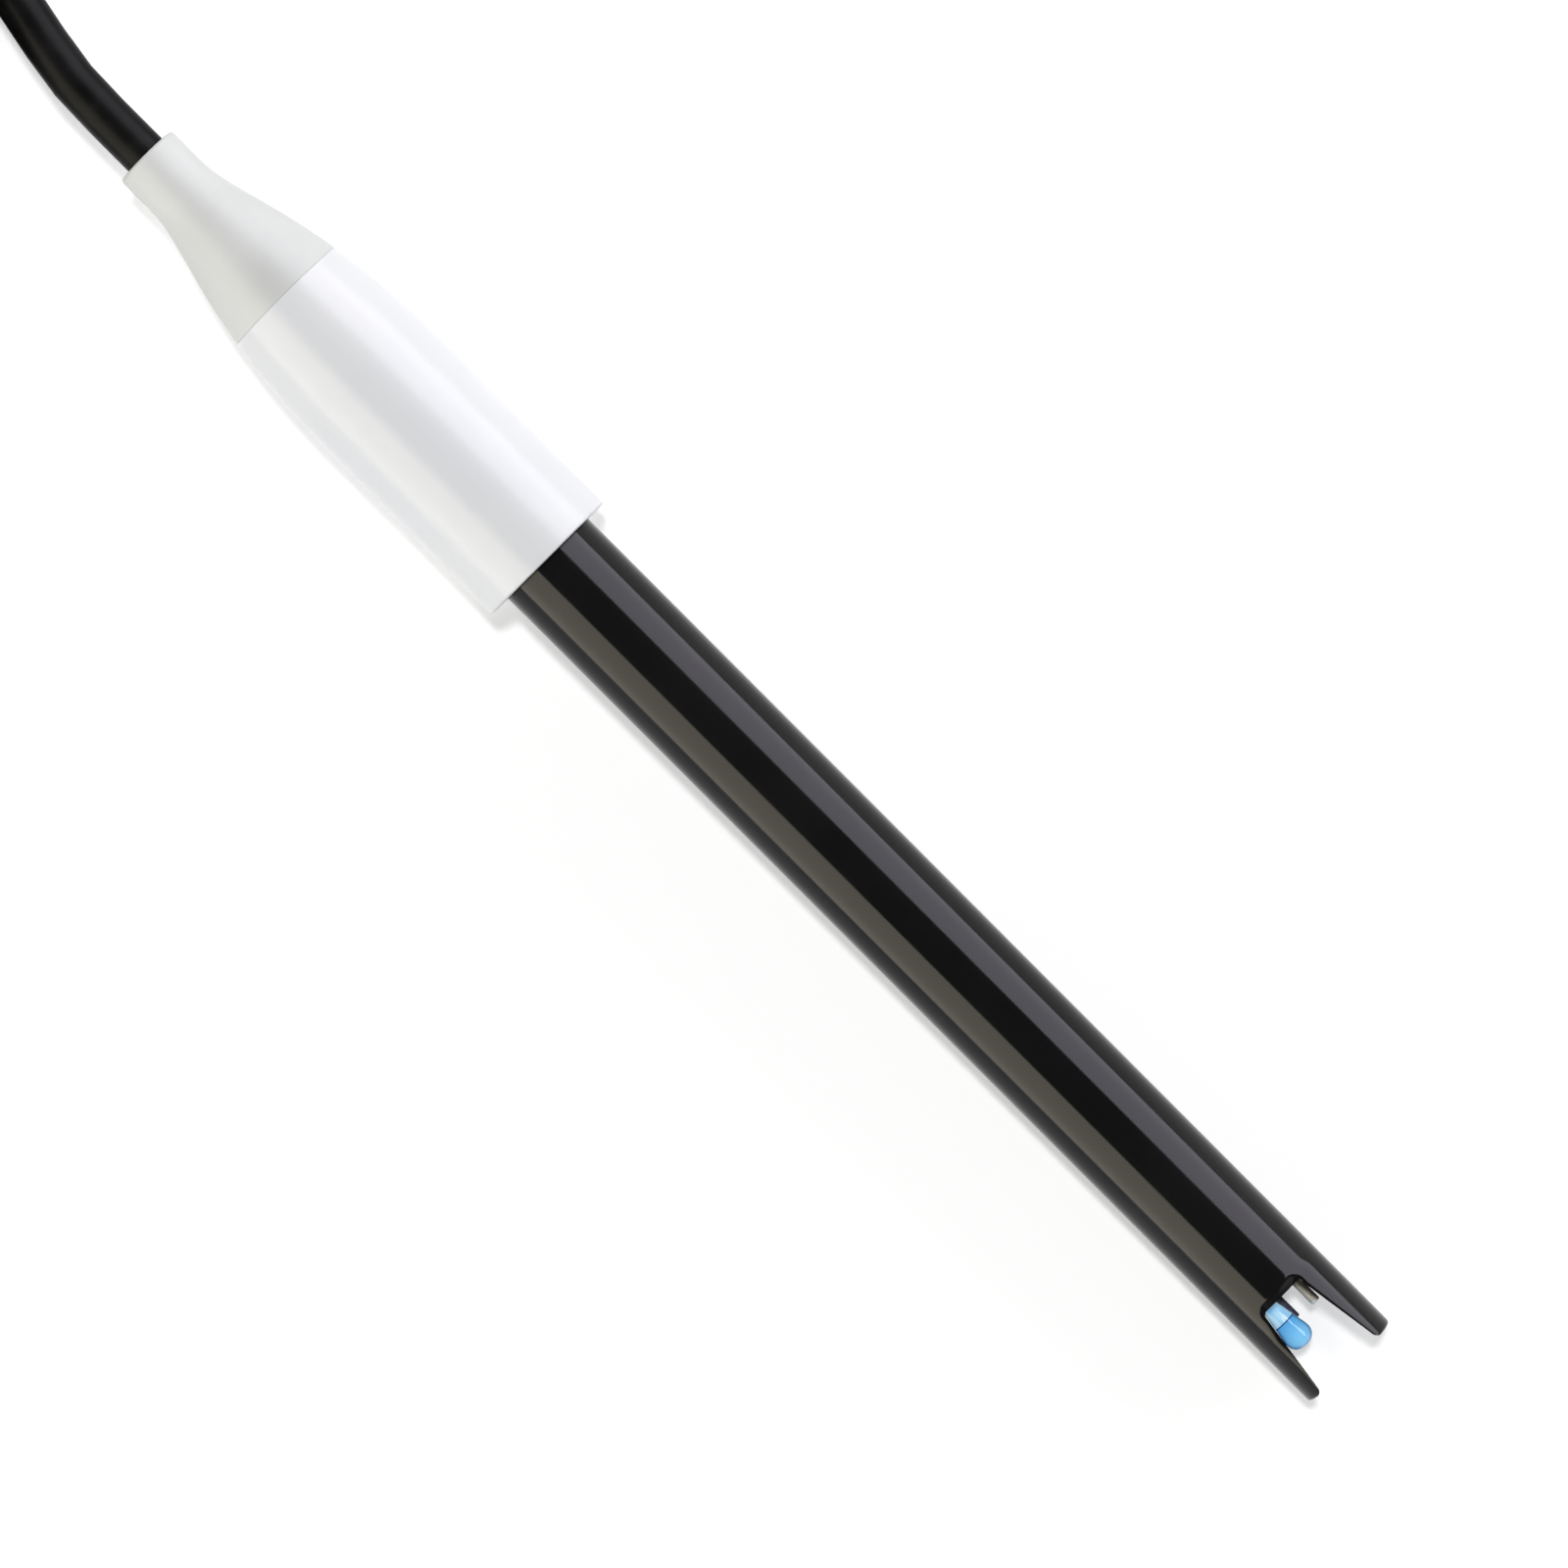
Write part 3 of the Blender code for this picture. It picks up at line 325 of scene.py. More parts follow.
def turned(name, outline, axis, offset=(0.0, 0.0), steps=128, closed=True, ribs=None):
    """Spins an outline of (place, radius) in millimetres round a line beside the axis.

    ribs(radius, angle) gives the radius where the piece isn't round.
    """
    shape = bmesh.new()
    rings = []
    for along, radius in outline:
        ring = []
        for k in range(steps if radius > 0.0 else 1):
            angle = math.tau * k / steps
            here = ribs(radius, angle) if ribs else radius
            place = (along * MM, here * math.sin(angle) * MM, here * math.cos(angle) * MM)
            ring.append(shape.verts.new(place))
        rings.append(ring)
    for ring, following in zip(rings, rings[1:] + rings[:1] if closed else rings[1:]):
        for k in range(steps):
            corners = [ring[k % len(ring)], ring[(k + 1) % len(ring)],
                       following[(k + 1) % len(following)], following[k % len(following)]]
            shape.faces.new(dict.fromkeys(corners))
    beside = Matrix.Translation(Vector((0.0, offset[0], offset[1])) * MM)
    return made_piece(name, shape, axis @ beside)


def lofted(name, sections, axis, looped=False):
    """Joins closed rings of as many points each, in millimetres, and closes both ends or joins them too."""
    shape = bmesh.new()
    rings = [[shape.verts.new(Vector(point) * MM) for point in section] for section in sections]
    for ring, following in zip(rings, rings[1:] + rings[:1] if looped else rings[1:]):
        for k in range(len(ring)):
            after = (k + 1) % len(ring)
            shape.faces.new((ring[k], ring[after], following[after], following[k]))
    if not looped:
        shape.faces.new(rings[0])
        shape.faces.new(list(reversed(rings[-1])))
    return made_piece(name, shape, axis)


def carve(piece, *cutters):
    """Cuts the other shapes out of the piece for good, and removes them."""
    for cutter in cutters:
        step = piece.modifiers.new("cut", "BOOLEAN")
        step.operation = "DIFFERENCE"
        step.object = cutter
    ready = piece.evaluated_get(bpy.context.evaluated_depsgraph_get())
    mesh = bpy.data.meshes.new_from_object(ready)
    piece.modifiers.clear()
    piece.data = mesh
    smooth_walls(mesh)
    for cutter in cutters:
        bpy.data.objects.remove(cutter)


def fit(piece, finish, body, slot, *nodes):
    """Gives the piece its finish, and puts it on its body in place of these solids."""
    piece.data.materials.clear()
    piece.data.materials.append(finish)
    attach(piece, body)
    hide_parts(*nodes)


def dress(node, finish):
    """Gives a solid that stays its finish."""
    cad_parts[node].material_slots[0].material = finish


def eased(value, start, length):
    """0 up to the start, 1 after this length, and smooth between them."""
    share = min(1.0, max(0.0, (value - start) / length))
    return share * share * (3.0 - 2.0 * share)


def slot_half(along):
    """Half the slot's width at this place."""
    share = max(0.0, (along - slot_root) / (tube_length - slot_root))
    return slot_root_half + (slot_mouth_half - slot_root_half) * share


def slot_outline():
    """The slot from above, with round corners at its root and at the arms' ends."""
    points = []
    for step in range(arc_steps + 1):
        turn = math.pi - 0.5 * math.pi * step / arc_steps
        points.append((slot_root + slot_fillet * (1.0 + math.cos(turn)),
                       slot_half(slot_root + slot_fillet) - slot_fillet * (1.0 - math.sin(turn))))
    round_start = tube_length - slot_mouth_round
    for step in range(arc_steps + 1):
        turn = -0.5 * math.pi + 0.5 * math.pi * step / arc_steps
        points.append((round_start + slot_mouth_round * math.cos(turn),
                       slot_half(round_start) + slot_mouth_round * (1.0 + math.sin(turn))))
    points.append((tube_length + 2.0, slot_half(round_start) + slot_mouth_round))
    mirrored = [(along, -across) for along, across in reversed(points)]
    return [(along, across + slot_shift) for along, across in points + mirrored]


def skin_drop(along, across):
    """How far the chamfer round the slot and the slope of the far arm lower the tube's skin here."""
    before = slot_root + slot_fillet - along
    beside = abs(across - slot_shift) - slot_half(along) + slot_fillet
    gap = math.hypot(max(before, 0.0), max(beside, 0.0)) + min(max(before, beside), 0.0) - slot_fillet
    root_share = math.atan2(max(before, 0.0), max(beside, 0.001)) / (0.5 * math.pi)
    side = far_chamfer
    if across < slot_shift:
        start, length = near_widening
        narrow, wide = near_chamfer
        widest = narrow + (wide - narrow) * eased(along, slot_root + start, length)
        side = max(near_chamfer_least, min(widest, near_chamfer_edge - slot_half(along) + slot_shift))
    inside = side + (root_chamfer - side) * root_share - max(gap, -chamfer_overlap)
    drop = 0.0
    if inside > 0.0:
        drop = chamfer_slope * (inside ** 2 / (4.0 * chamfer_ease) if inside < 2.0 * chamfer_ease
                                else inside - chamfer_ease)
    start, length = arm_slope_along
    far_share = eased(along, slot_root + start, length) * eased(across, *arm_slope_across)
    return drop + far_share * arm_slope * min(arm_slope_most, max(0.0, arm_slope_start - across))


stations = [40.0, 80.0, 104.0, 106.0] + [107.0 + 0.2 * i for i in range(63)]
tube_corners = [(-tube_insert, tube_bore, 0.1), (-tube_insert, tube_radius, 0.3)]
tube_corners += [(along, tube_radius, 0.0) for along in stations]
tube_corners += [(tube_length, tube_radius, 0.4), (tube_length, tube_bore, 0.15)]
tube_corners += [(along, tube_bore, 0.0) for along in (114.0, 108.0, 80.0, 40.0)]
tube = turned("black_tube", softened(tube_corners), electrode_axis, steps=256)
for vert in tube.data.vertices:
    along, across, height = vert.co / MM
    radius = math.hypot(across, height)
    if along > 106.0 and radius > tube_bore:
        share = (radius - tube_bore) / (tube_radius - tube_bore)
        vert.co.z -= math.copysign(share * skin_drop(along, across), height) * MM
slot_levels = [[(along, across, height) for along, across in slot_outline()] for height in (-8.0, 8.0)]
carve(tube, lofted("slot_shape", slot_levels, electrode_axis))
arm_bevel = tube.modifiers.new("edges", "BEVEL")
arm_bevel.width = arm_edge * MM
arm_bevel.segments = 3
arm_bevel.limit_method = "ANGLE"
arm_bevel.angle_limit = math.radians(40.0)
arm_bevel.harden_normals = False

tube_finish, tube_shader, tube_place = new_finish("black_moulding", ior=1.25)
tube_along = tube_place.stretched(60.0, 2500.0, 2500.0)
tube_rubs = tube_along.noise(1.0, 3.0).between(0.55, 0.8)
tube_haze = tube_place.noise(90.0, 3.0)
tube_skin = tube_place.noise(700.0, 1.0)
feed(tube_shader,
     base_color=tube_haze.mottled((0.006, 0.006, 0.0065), (0.009, 0.0085, 0.009)),
     roughness=0.07 + 0.05 * tube_haze + 0.05 * tube_rubs,
     normal=tube_skin.bump(0.12, 0.01))
fit(tube, tube_finish, "electrode", "black_moulding", "body_tube")

# White cap
# A glossy white moulding that holds the tube's upper end. It is straight over the tube and draws in above it,
# and the cable boot is plugged into its narrow end.

cap_length = 60.0
cap_radius = 8.35
cap_wall = 1.6
boot_length = 20.9
seam = boot_length - cap_length
neck_radius = 3.79
neck_length = 4.4
flare_start = neck_length - cap_length
flare_end = flare_start + 31.7
flare_pulls = (5.8, 19.9)
flare = [Vector((flare_start, neck_radius)), Vector((flare_start + flare_pulls[0], neck_radius)),
         Vector((flare_end - flare_pulls[1], cap_radius)), Vector((flare_end, cap_radius))]


def curve_point(handles, share):
    """The point at this share of a cubic curve."""
    rest = 1.0 - share
    weights = (rest ** 3, 3.0 * rest ** 2 * share, 3.0 * rest * share ** 2, share ** 3)
    return sum((handle * weight for handle, weight in zip(handles, weights)), Vector((0.0, 0.0)))


def flare_radius(along):
    """The cap's outer radius at this place."""
    low, high = 0.0, 1.0
    for _ in range(40):
        middle = 0.5 * (low + high)
        if curve_point(flare, middle).x < along:
            low = middle
        else:
            high = middle
    return curve_point(flare, low).y


def flare_line(start, end, count):
    return [(start + (end - start) * i / count, flare_radius(start + (end - start) * i / count), 0.0)
            for i in range(count + 1)]


cap_bore = 6.1
stop_face = -27.6
stop_bore = 4.9
cavity_foot = -29.2
shell_corners = [(seam, flare_radius(seam), 0.03)] + flare_line(seam + 0.6, flare_end, 30)[:-1]
shell_corners += [(-20.0, cap_radius, 0.0), (-10.0, cap_radius, 0.0), (0.0, cap_radius, 0.4)]
shell_corners += [(0.0, cap_bore, 0.1)]
shell_corners += [(stop_face, cap_bore, 0.0), (stop_face, stop_bore, 0.2), (cavity_foot, stop_bore, 0.2)]
shell_corners += [(along, radius - cap_wall, 0.0) for along, radius, _ in flare_line(cavity_foot, seam, 10)]
shell = turned("cap_shell_moulding", softened(shell_corners), electrode_axis, steps=160)

shell_finish, shell_shader, shell_place = new_finish("white_moulding", ior=1.4, specular_ior_level=0.27)
shell_tone = shell_place.noise(60.0, 2.0)
shell_ripple = shell_place.noise(420.0, 1.0)
feed(shell_shader,
     base_color=shell_tone.mottled((0.84, 0.85, 0.875), (0.87, 0.875, 0.89)),
     roughness=0.26 + 0.05 * shell_tone,
     normal=shell_ripple.bump(0.04, 0.02))
fit(shell, shell_finish, "electrode", "white_moulding", "cap_shell")

# Cable boot
# A soft off-white moulding with a fine matt grain. Its spigot is glued into the cap, which leaves the thin
# seam line, and its narrow neck grips the cable and eases its bend.

boot_bore = 2.55
boot_edge = seam - 0.02
spigot_end = seam + 4.0
spigot_radius = flare_radius(seam) - cap_wall - 0.1
boot_corners = [(-cap_length, boot_bore, 0.15), (-cap_length, neck_radius, 0.5)]
boot_corners += [(-cap_length + 1.5, neck_radius, 0.0), (-cap_length + 3.0, neck_radius, 0.0)]
boot_corners += flare_line(flare_start, seam - 0.8, 24)
boot_corners += [(boot_edge, flare_radius(boot_edge), 0.03), (boot_edge, spigot_radius, 0.0)]
boot_corners += [(spigot_end, spigot_radius, 0.2), (spigot_end, boot_bore, 0.1)]
boot = turned("boot_moulding", softened(boot_corners), electrode_axis, steps=128)

boot_finish, boot_shader, boot_place = new_finish("matt_boot", ior=1.45, specular_ior_level=0.35)
boot_cloud = boot_place.noise(160.0, 2.0)
boot_grain = boot_place.noise(6500.0, 3.0)
# Painted shade: the boot's top and bottom middle is darker just before the seam.
painted_shade_along = (-46.5 * MM, -41.0 * MM)
painted_shade_beside = (0.5 * MM, 4.0 * MM)
boot_side = boot_place.math("ABSOLUTE", boot_place.axis("Y"))
painted_shade_spot = boot_place.axis("X").between(*painted_shade_along) * (1.0 - boot_side.between(*painted_shade_beside))
boot_shade = boot_cloud.between(0.25, 0.75).blend((0.715, 0.725, 0.712), (0.745, 0.755, 0.742))
feed(boot_shader,
     base_color=painted_shade_spot.blend(boot_shade, (0.66, 0.67, 0.657)),
     roughness=0.5 + 0.12 * boot_grain,
     normal=boot_grain.bump(0.3, 0.012))
fit(boot, boot_finish, "electrode", "matte_boot", "strain_relief_boot")

# Cap gasket
# A flat ring of grey rubber between the tube's end and the stop inside the cap. It stays as it is, and gets
# the slightly dusty finish of moulded rubber.


def moulded_rubber(name, dark, light, grain=3500.0, roughness=0.6):
    """Soft rubber with a fine grain and a slightly uneven tone."""
    finish, shader, place = new_finish(name, ior=1.5, specular_ior_level=0.25)
    tone = place.noise(250.0, 3.0)
    fine = place.noise(grain, 2.0)
    feed(shader,
         base_color=tone.mottled(dark, light),
         roughness=roughness + 0.15 * fine,
         normal=fine.bump(0.3, 0.01))
    return finish


dress("cap_gasket", moulded_rubber("grey_gasket", (0.20, 0.20, 0.21), (0.27, 0.27, 0.28)))

# Glass stem
# The end of the inner glass tube, drawn down to a neck that passes the bulkhead and flares again to carry the
# bulb. It is pale blue lead-free glass, melted onto the blue membrane at a thin dark seam. Both glasses glow
# faintly, which stands for the light that they gather from all sides.

glass_offset = -1.9
glass_wall = 0.3
glass_radius = 1.8
neck_glass = 0.81
cone_slope = 0.18
glass_top = -23.2
shoulder = 98.9
shoulder_length = 3.0
glass_seam = 112.1


def cone_radius(along):
    return neck_glass + cone_slope * (along - slot_root)


stem_line = [(glass_top, glass_radius), (40.0, glass_radius), (80.0, glass_radius), (shoulder, glass_radius)]
for step in range(1, 13):
    along = shoulder_length * step / 12
    stem_line.append((shoulder + along,
                      glass_radius + (neck_glass - glass_radius) * eased(along, 0.0, shoulder_length)))
stem_line += [(slot_root - 1.0, neck_glass), (slot_root, neck_glass)]
stem_line.append((slot_root + 0.6, cone_radius(slot_root + 0.55)))
stem_line.append((slot_root + 1.6, cone_radius(slot_root + 1.6)))
stem_line.append((glass_seam - 0.01, cone_radius(glass_seam)))
stem_corners = [(along, radius, 0.0) for along, radius in stem_line]
stem_corners[-1] = (*stem_line[-1], 0.05)
stem_corners += [(along, radius - glass_wall, 0.0) for along, radius in reversed(stem_line)]
stem = turned("pale_glass_stem", softened(stem_corners), electrode_axis, (glass_offset, 0.0), steps=64)

stem_finish, stem_shader, stem_place = new_finish(
    "pale_glass", ior=1.5, transmission_weight=0.15, emission_strength=0.3)
stem_streaks = stem_place.stretched(500.0, 1800.0, 1800.0)
stem_cord = stem_streaks.noise(1.0, 3.0)
# Painted shade darkens the glass towards its outline, and the glow is left off there.
stem_painted_rim_shade = stem_place.node("LayerWeight", (), {"Blend": 0.5}).out("Facing").between(0.55, 0.95)
stem_shade = stem_cord.between(0.35, 0.65).blend((0.38, 0.74, 1.0), (0.70, 0.92, 1.0))
feed(stem_shader,
     base_color=stem_painted_rim_shade.blend(stem_shade, (0.10, 0.34, 0.62)),
     emission_color=stem_painted_rim_shade.blend(stem_shade, (0.0, 0.0, 0.0)),
     roughness=0.03 + 0.04 * stem_cord,
     normal=stem_cord.bump(0.15, 0.02))
fit(stem, stem_finish, "electrode", "pale_glass", "glass_stem")

# Sensing bulb
# A thin blue glass membrane, blown to a rounded cone at the stem's end. It is smooth and wet, and darker at the
# seam where it is melted on. Painted light makes it lighter towards its pole, and painted shade darkens its
# rim.

bulb_side = slot_root + 4.2
bulb_pull = bulb_side + 0.85
bulb_pole = slot_root + 5.96
bulb_pole_pull = 1.25


def bulb_line(start, shrink, count):
    """The bulb's outline from its open end to its pole, made smaller by shrink."""
    handles = [Vector((along, cone_radius(along) - shrink)) for along in (bulb_side, bulb_pull)]
    handles += [Vector((bulb_pole - shrink, radius)) for radius in (bulb_pole_pull - shrink, 0.0)]
    points = [(along, cone_radius(along) - shrink) for along in (start, 0.5 * (start + bulb_side))]
    points += [tuple(curve_point(handles, step / count)) for step in range(count)]
    return points + [(bulb_pole - shrink, 0.0)]


bulb_start = glass_seam + 0.01
skin_line = list(reversed(bulb_line(bulb_start, 0.0, 20))) + bulb_line(bulb_start, glass_wall, 16)
bulb = turned("blue_glass_bulb", skin_line, electrode_axis, (glass_offset, 0.0), steps=64, closed=False)

bulb_finish, bulb_shader, bulb_place = new_finish(
    "blue_glass", ior=1.45, transmission_weight=0.15, emission_strength=0.3)
bulb_cloud = bulb_place.noise(900.0, 2.0)
# Painted shade towards the rim and painted light towards the pole; the glow follows both.
bulb_painted_rim_shade = bulb_place.node("LayerWeight", (), {"Blend": 0.5}).out("Facing").between(0.3, 0.9)
bulb_along = bulb_place.axis("X")
bulb_painted_light_along = bulb_along.between(112.0 * MM, 114.6 * MM)
bulb_melt = bulb_along.between((glass_seam + 0.06) * MM, (glass_seam + 0.2) * MM)
bulb_shade = (0.75 * bulb_painted_light_along + 0.25 * bulb_cloud).blend((0.12, 0.50, 0.92), (0.30, 0.72, 1.0))
feed(bulb_shader,
     base_color=bulb_melt.blend((0.03, 0.16, 0.40), bulb_painted_rim_shade.blend(bulb_shade, (0.03, 0.14, 0.42))),
     emission_color=(bulb_melt * (1.0 - bulb_painted_rim_shade)).blend((0.0, 0.0, 0.0), bulb_shade),
     roughness=0.03 + 0.04 * bulb_cloud)
fit(bulb, bulb_finish, "electrode", "blue_glass", "ph_bulb")

# Bulb filling and inner wire
# The bulb holds a blue buffer gel, which wets its wall, and a drawn silver wire dips into it from the glass
# tube.

gel_face = slot_root + 2.9
well_end = slot_root + 4.1
well_radius = 0.26
filled = bulb_line(gel_face, glass_wall + 0.03, 16)
gel_line = [(well_end, 0.0), (well_end, well_radius), (gel_face - 0.15, well_radius), (gel_face + 0.12, 0.7)]
gel_line += filled
bulb_gel = turned("buffer_gel", gel_line, electrode_axis, (glass_offset, 0.0), steps=64, closed=False)

gel_finish, gel_shader, gel_place = new_finish("blue_gel", ior=1.36, roughness=0.25, transmission_weight=0.6)
gel_depth = gel_place.axis("X").between(112.0 * MM, 115.0 * MM)
gel_shade = gel_depth.blend((0.55, 0.85, 1.0), (0.42, 0.76, 0.98))
feed(gel_shader, base_color=gel_shade)
fit(bulb_gel, gel_finish, "electrode", "blue_gel", "bulb_fill")


def drawn_metal(name, dark, light, roughness, streaks=(200.0, 4000.0, 4000.0)):
    """Bare metal with fine drawing lines along X."""
    finish, shader, place = new_finish(name, metallic=1.0)
    lines = place.stretched(*streaks)
    line = lines.noise(1.0, 3.0)
    tone = place.noise(300.0, 2.0)
    feed(shader,
         base_color=tone.mottled(dark, light),
         roughness=roughness + 0.15 * line,
         normal=line.bump(0.2, 0.004))
    return finish


dress("inner_wire", drawn_metal("drawn_silver", (0.70, 0.69, 0.67), (0.82, 0.81, 0.79), 0.22))

# Bulkhead
# Black resin cast into the tube at the slot's root. It seals the glass neck, the junction pin and the
# reference rod.

bulkhead_back = 102.2
bulkhead_face = 109.2
bulkhead_radius = 4.7
hole_gap = 0.04
pin_radius = 0.55
pin_offset = 2.0
pin_end = slot_root + 3.4
rod_offset = (-0.75, -2.35)
bulkhead_corners = [(bulkhead_back, 0.0, 0.0), (bulkhead_back, bulkhead_radius, 0.1),
                    (bulkhead_face - 0.6, bulkhead_radius, 0.0), (bulkhead_face + 0.15, bulkhead_radius, 0.0),
                    (bulkhead_face - 0.05, 4.35, 0.1), (bulkhead_face, 0.0, 0.0)]
bulkhead = turned("resin_bulkhead", softened(bulkhead_corners), electrode_axis, steps=96, closed=False)
holes = {"stem_hole": ((glass_offset, 0.0), neck_glass), "pin_hole": ((pin_offset, 0.0), pin_radius),
         "rod_hole": (rod_offset, pin_radius)}
drills = []
for name, (place, radius) in holes.items():
    drill = [(bulkhead_back - 1.0, 0.0), (bulkhead_back - 1.0, radius + hole_gap),
             (bulkhead_face + 1.0, radius + hole_gap), (bulkhead_face + 1.0, 0.0)]
    drills.append(turned(name, drill, electrode_axis, place, steps=48, closed=False))
carve(bulkhead, *drills)

resin_finish, resin_shader, resin_place = new_finish("black_resin", ior=1.5)
resin_cloud = resin_place.noise(700.0, 3.0)
resin_waves = resin_place.noise(900.0, 1.0)
feed(resin_shader,
     base_color=resin_cloud.mottled((0.010, 0.010, 0.011), (0.020, 0.019, 0.019)),
     roughness=0.3 + 0.2 * resin_cloud,
     normal=resin_waves.bump(0.4, 0.05))
fit(bulkhead, resin_finish, "electrode", "black_resin", "bulkhead")
dress("top_seal", resin_finish)

# Junction pin
# A rod of porous tan ceramic, through which the reference gel seeps out to the sample. Its end is ground flat
# and shines where it is wet, and a painted white glint lies on it.

pin_corners = [(bulkhead_back, 0.0, 0.0), (bulkhead_back, pin_radius, 0.0), (bulkhead_face, pin_radius, 0.0),
               (pin_end, pin_radius, 0.2), (pin_end, 0.0, 0.0)]
pin = turned("ceramic_pin", softened(pin_corners), electrode_axis, (pin_offset, 0.0), steps=64, closed=False)

pin_finish, pin_shader, pin_place = new_finish("tan_ceramic", ior=1.5)
pores = pin_place.node("TexVoronoi", (), {"Vector": pin_place, "Scale": 9000.0})
pin_cloud = pin_place.noise(1500.0, 3.0)
pin_along = pin_place.axis("X")
# The wet end is smoother, and its colour is a painted near-white glint.
wet_painted_glint_end = pin_along.between((pin_end - 0.4) * MM, (pin_end - 0.3) * MM)
pin_shade = pin_cloud.mottled((0.55, 0.51, 0.41), (0.76, 0.71, 0.60))
feed(pin_shader,
     base_color=wet_painted_glint_end.blend(pin_shade, (0.95, 0.94, 0.92)),
     roughness=0.55 - 0.35 * wet_painted_glint_end,
     normal=pores.bump(0.35, 0.02))
fit(pin, pin_finish, "electrode", "tan_ceramic", "reference_junction")

# Reference rod
# A silver wire with a thick grey-violet coat of its own chloride, which runs through the gel and shows in the
# guard below the glass stem.

rod_end = slot_root + 3.4
coat_start = rod_end - 75.0
wire_start = -25.0
wire_radius = 0.3
rod_corners = [(wire_start, 0.0, 0.0), (wire_start, wire_radius, 0.05), (coat_start, wire_radius, 0.0),
               (coat_start, pin_radius, 0.15), (bulkhead_back, pin_radius, 0.0),
               (bulkhead_face, pin_radius, 0.0), (rod_end, pin_radius, 0.2), (rod_end, 0.0, 0.0)]
rod = turned("coated_rod", softened(rod_corners), electrode_axis, rod_offset, steps=48, closed=False)

rod_finish, rod_shader, rod_place = new_finish("chloride_coat", ior=1.6)
rod_crust = rod_place.noise(4000.0, 4.0)
feed(rod_shader,
     base_color=rod_crust.mottled((0.06, 0.052, 0.085), (0.16, 0.15, 0.21)),
     metallic=0.35 * rod_crust,
     roughness=0.35 + 0.2 * rod_crust,
     normal=rod_crust.bump(0.4, 0.02))
fit(rod, rod_finish, "electrode", "chloride_coat", "reference_rod")

# Reference gel
# The tube is filled with a clear salt gel round the glass tube and the rod. It is closed in on all sides, so
# its solid stays and gets a wet, slightly milky finish.

salt_finish, salt_shader, salt_place = new_finish("salt_gel", ior=1.36, transmission_weight=0.6)
salt_cloud = salt_place.noise(300.0, 3.0)
feed(salt_shader,
     base_color=salt_cloud.mottled((0.80, 0.82, 0.80), (0.88, 0.90, 0.88)),
     roughness=0.15 + 0.15 * salt_cloud)
dress("reference_gel", salt_finish)

# Conductors in the cap
# The cable's core and screen are drawn out in two insulated leads, soldered to the wire and the rod, and each
# joint is covered by a shrink sleeve. A copper ferrule on the jacket takes the pull.


def extruded_skin(name, dark, light):
    """Smooth insulation with a faint waviness from its drawing."""
    finish, shader, place = new_finish(name, ior=1.48)
    tone = place.noise(400.0, 2.0)
    feed(shader,
         base_color=tone.mottled(dark, light),
         roughness=0.3 + 0.15 * tone,
         normal=tone.bump(0.2, 0.02))
    return finish


dress("core_lead", extruded_skin("core_insulation", (0.78, 0.78, 0.75), (0.86, 0.86, 0.83)))
dress("screen_lead", extruded_skin("screen_insulation", (0.07, 0.07, 0.07), (0.11, 0.11, 0.11)))
sleeve_finish = moulded_rubber("shrink_sleeve", (0.40, 0.02, 0.02), (0.55, 0.04, 0.03), grain=2000.0,
                               roughness=0.4)
dress("core_sleeve", sleeve_finish)
dress("screen_sleeve", sleeve_finish)
dress("cable_clamp", drawn_metal("bare_copper", (0.72, 0.38, 0.24), (0.88, 0.54, 0.38), 0.28,
                                 streaks=(3000.0, 300.0, 300.0)))

# Cable
# A black coaxial cable of 5 mm with a soft satin jacket. It leaves the boot straight, sags to the bench, and
# the rest of its metre is folded in a hank of three layers, whose runs are drawn together at the waist.

cable_radius = 2.5
cable_route = [
    (-61.95, 0.0, 9.02), (-70.0, 0.0, 9.20), (-80.0, 0.0, 9.41), (-90.0, 0.0, 9.62), (-96.0, 0.0, 9.68),
    (-101.0, 0.15, 9.48), (-106.0, 0.90, 8.98), (-111.0, 1.90, 8.38), (-116.6, 2.80, 7.78),
]
tail_route = [
    (-212.4, 2.85, 7.47), (-216.0, 2.35, 7.40), (-220.0, 1.55, 7.29), (-224.0, 1.05, 7.21),
    (-228.0, 1.0, 7.2), (-236.0, 1.0, 7.2), (-246.2, 1.0, 7.2),
]
hank_run = 84.0
hank_near = -122.5
hank_far = hank_near - hank_run
hank_middle = -17.0
hank_turn = 15.0
hank_lift = 1.3
pitch = 2.0 * cable_radius
layers = (2.5, 7.5, 12.5)
run_steps = 24
fold_steps = 14


def run_point(share, side, outward, height):
    """A point on a run at this share of the way from the near head to the far one."""
    spread = hank_turn - 0.5 * pitch
    reach = 0.5 * pitch + spread * math.cos(math.pi * share) ** 2
    slope = -spread * math.pi * math.sin(math.tau * share) / hank_run
    normal = Vector((slope, 1.0)).normalized() * outward
    raised = height + hank_lift * math.sin(math.pi * share) ** 4
    return (hank_near - hank_run * share + normal.x, hank_middle + side * reach + normal.y, raised)


def leaving_run(turn, share):
    """The runs on the cable's own side climb by a layer each turn, and the first and last lie outside."""
    low, middle, high = layers
    if turn == 0:
        outward = pitch * (1.0 - eased(share, 0.70, 0.30))
        return run_point(share, 1, outward, middle + (low - middle) * eased(share, 0.10, 0.42))
    if turn == 1:
        return run_point(share, 1, 0.0, low + (middle - low) * eased(share, 0.40, 0.35))
    if turn == 2:
        return run_point(share, 1, 0.0, middle + (high - middle) * eased(share, 0.22, 0.33))
    outward = pitch * eased(share, 0.0, 0.28)
    return run_point(share, 1, outward, high + (middle - high) * eased(share, 0.50, 0.45))


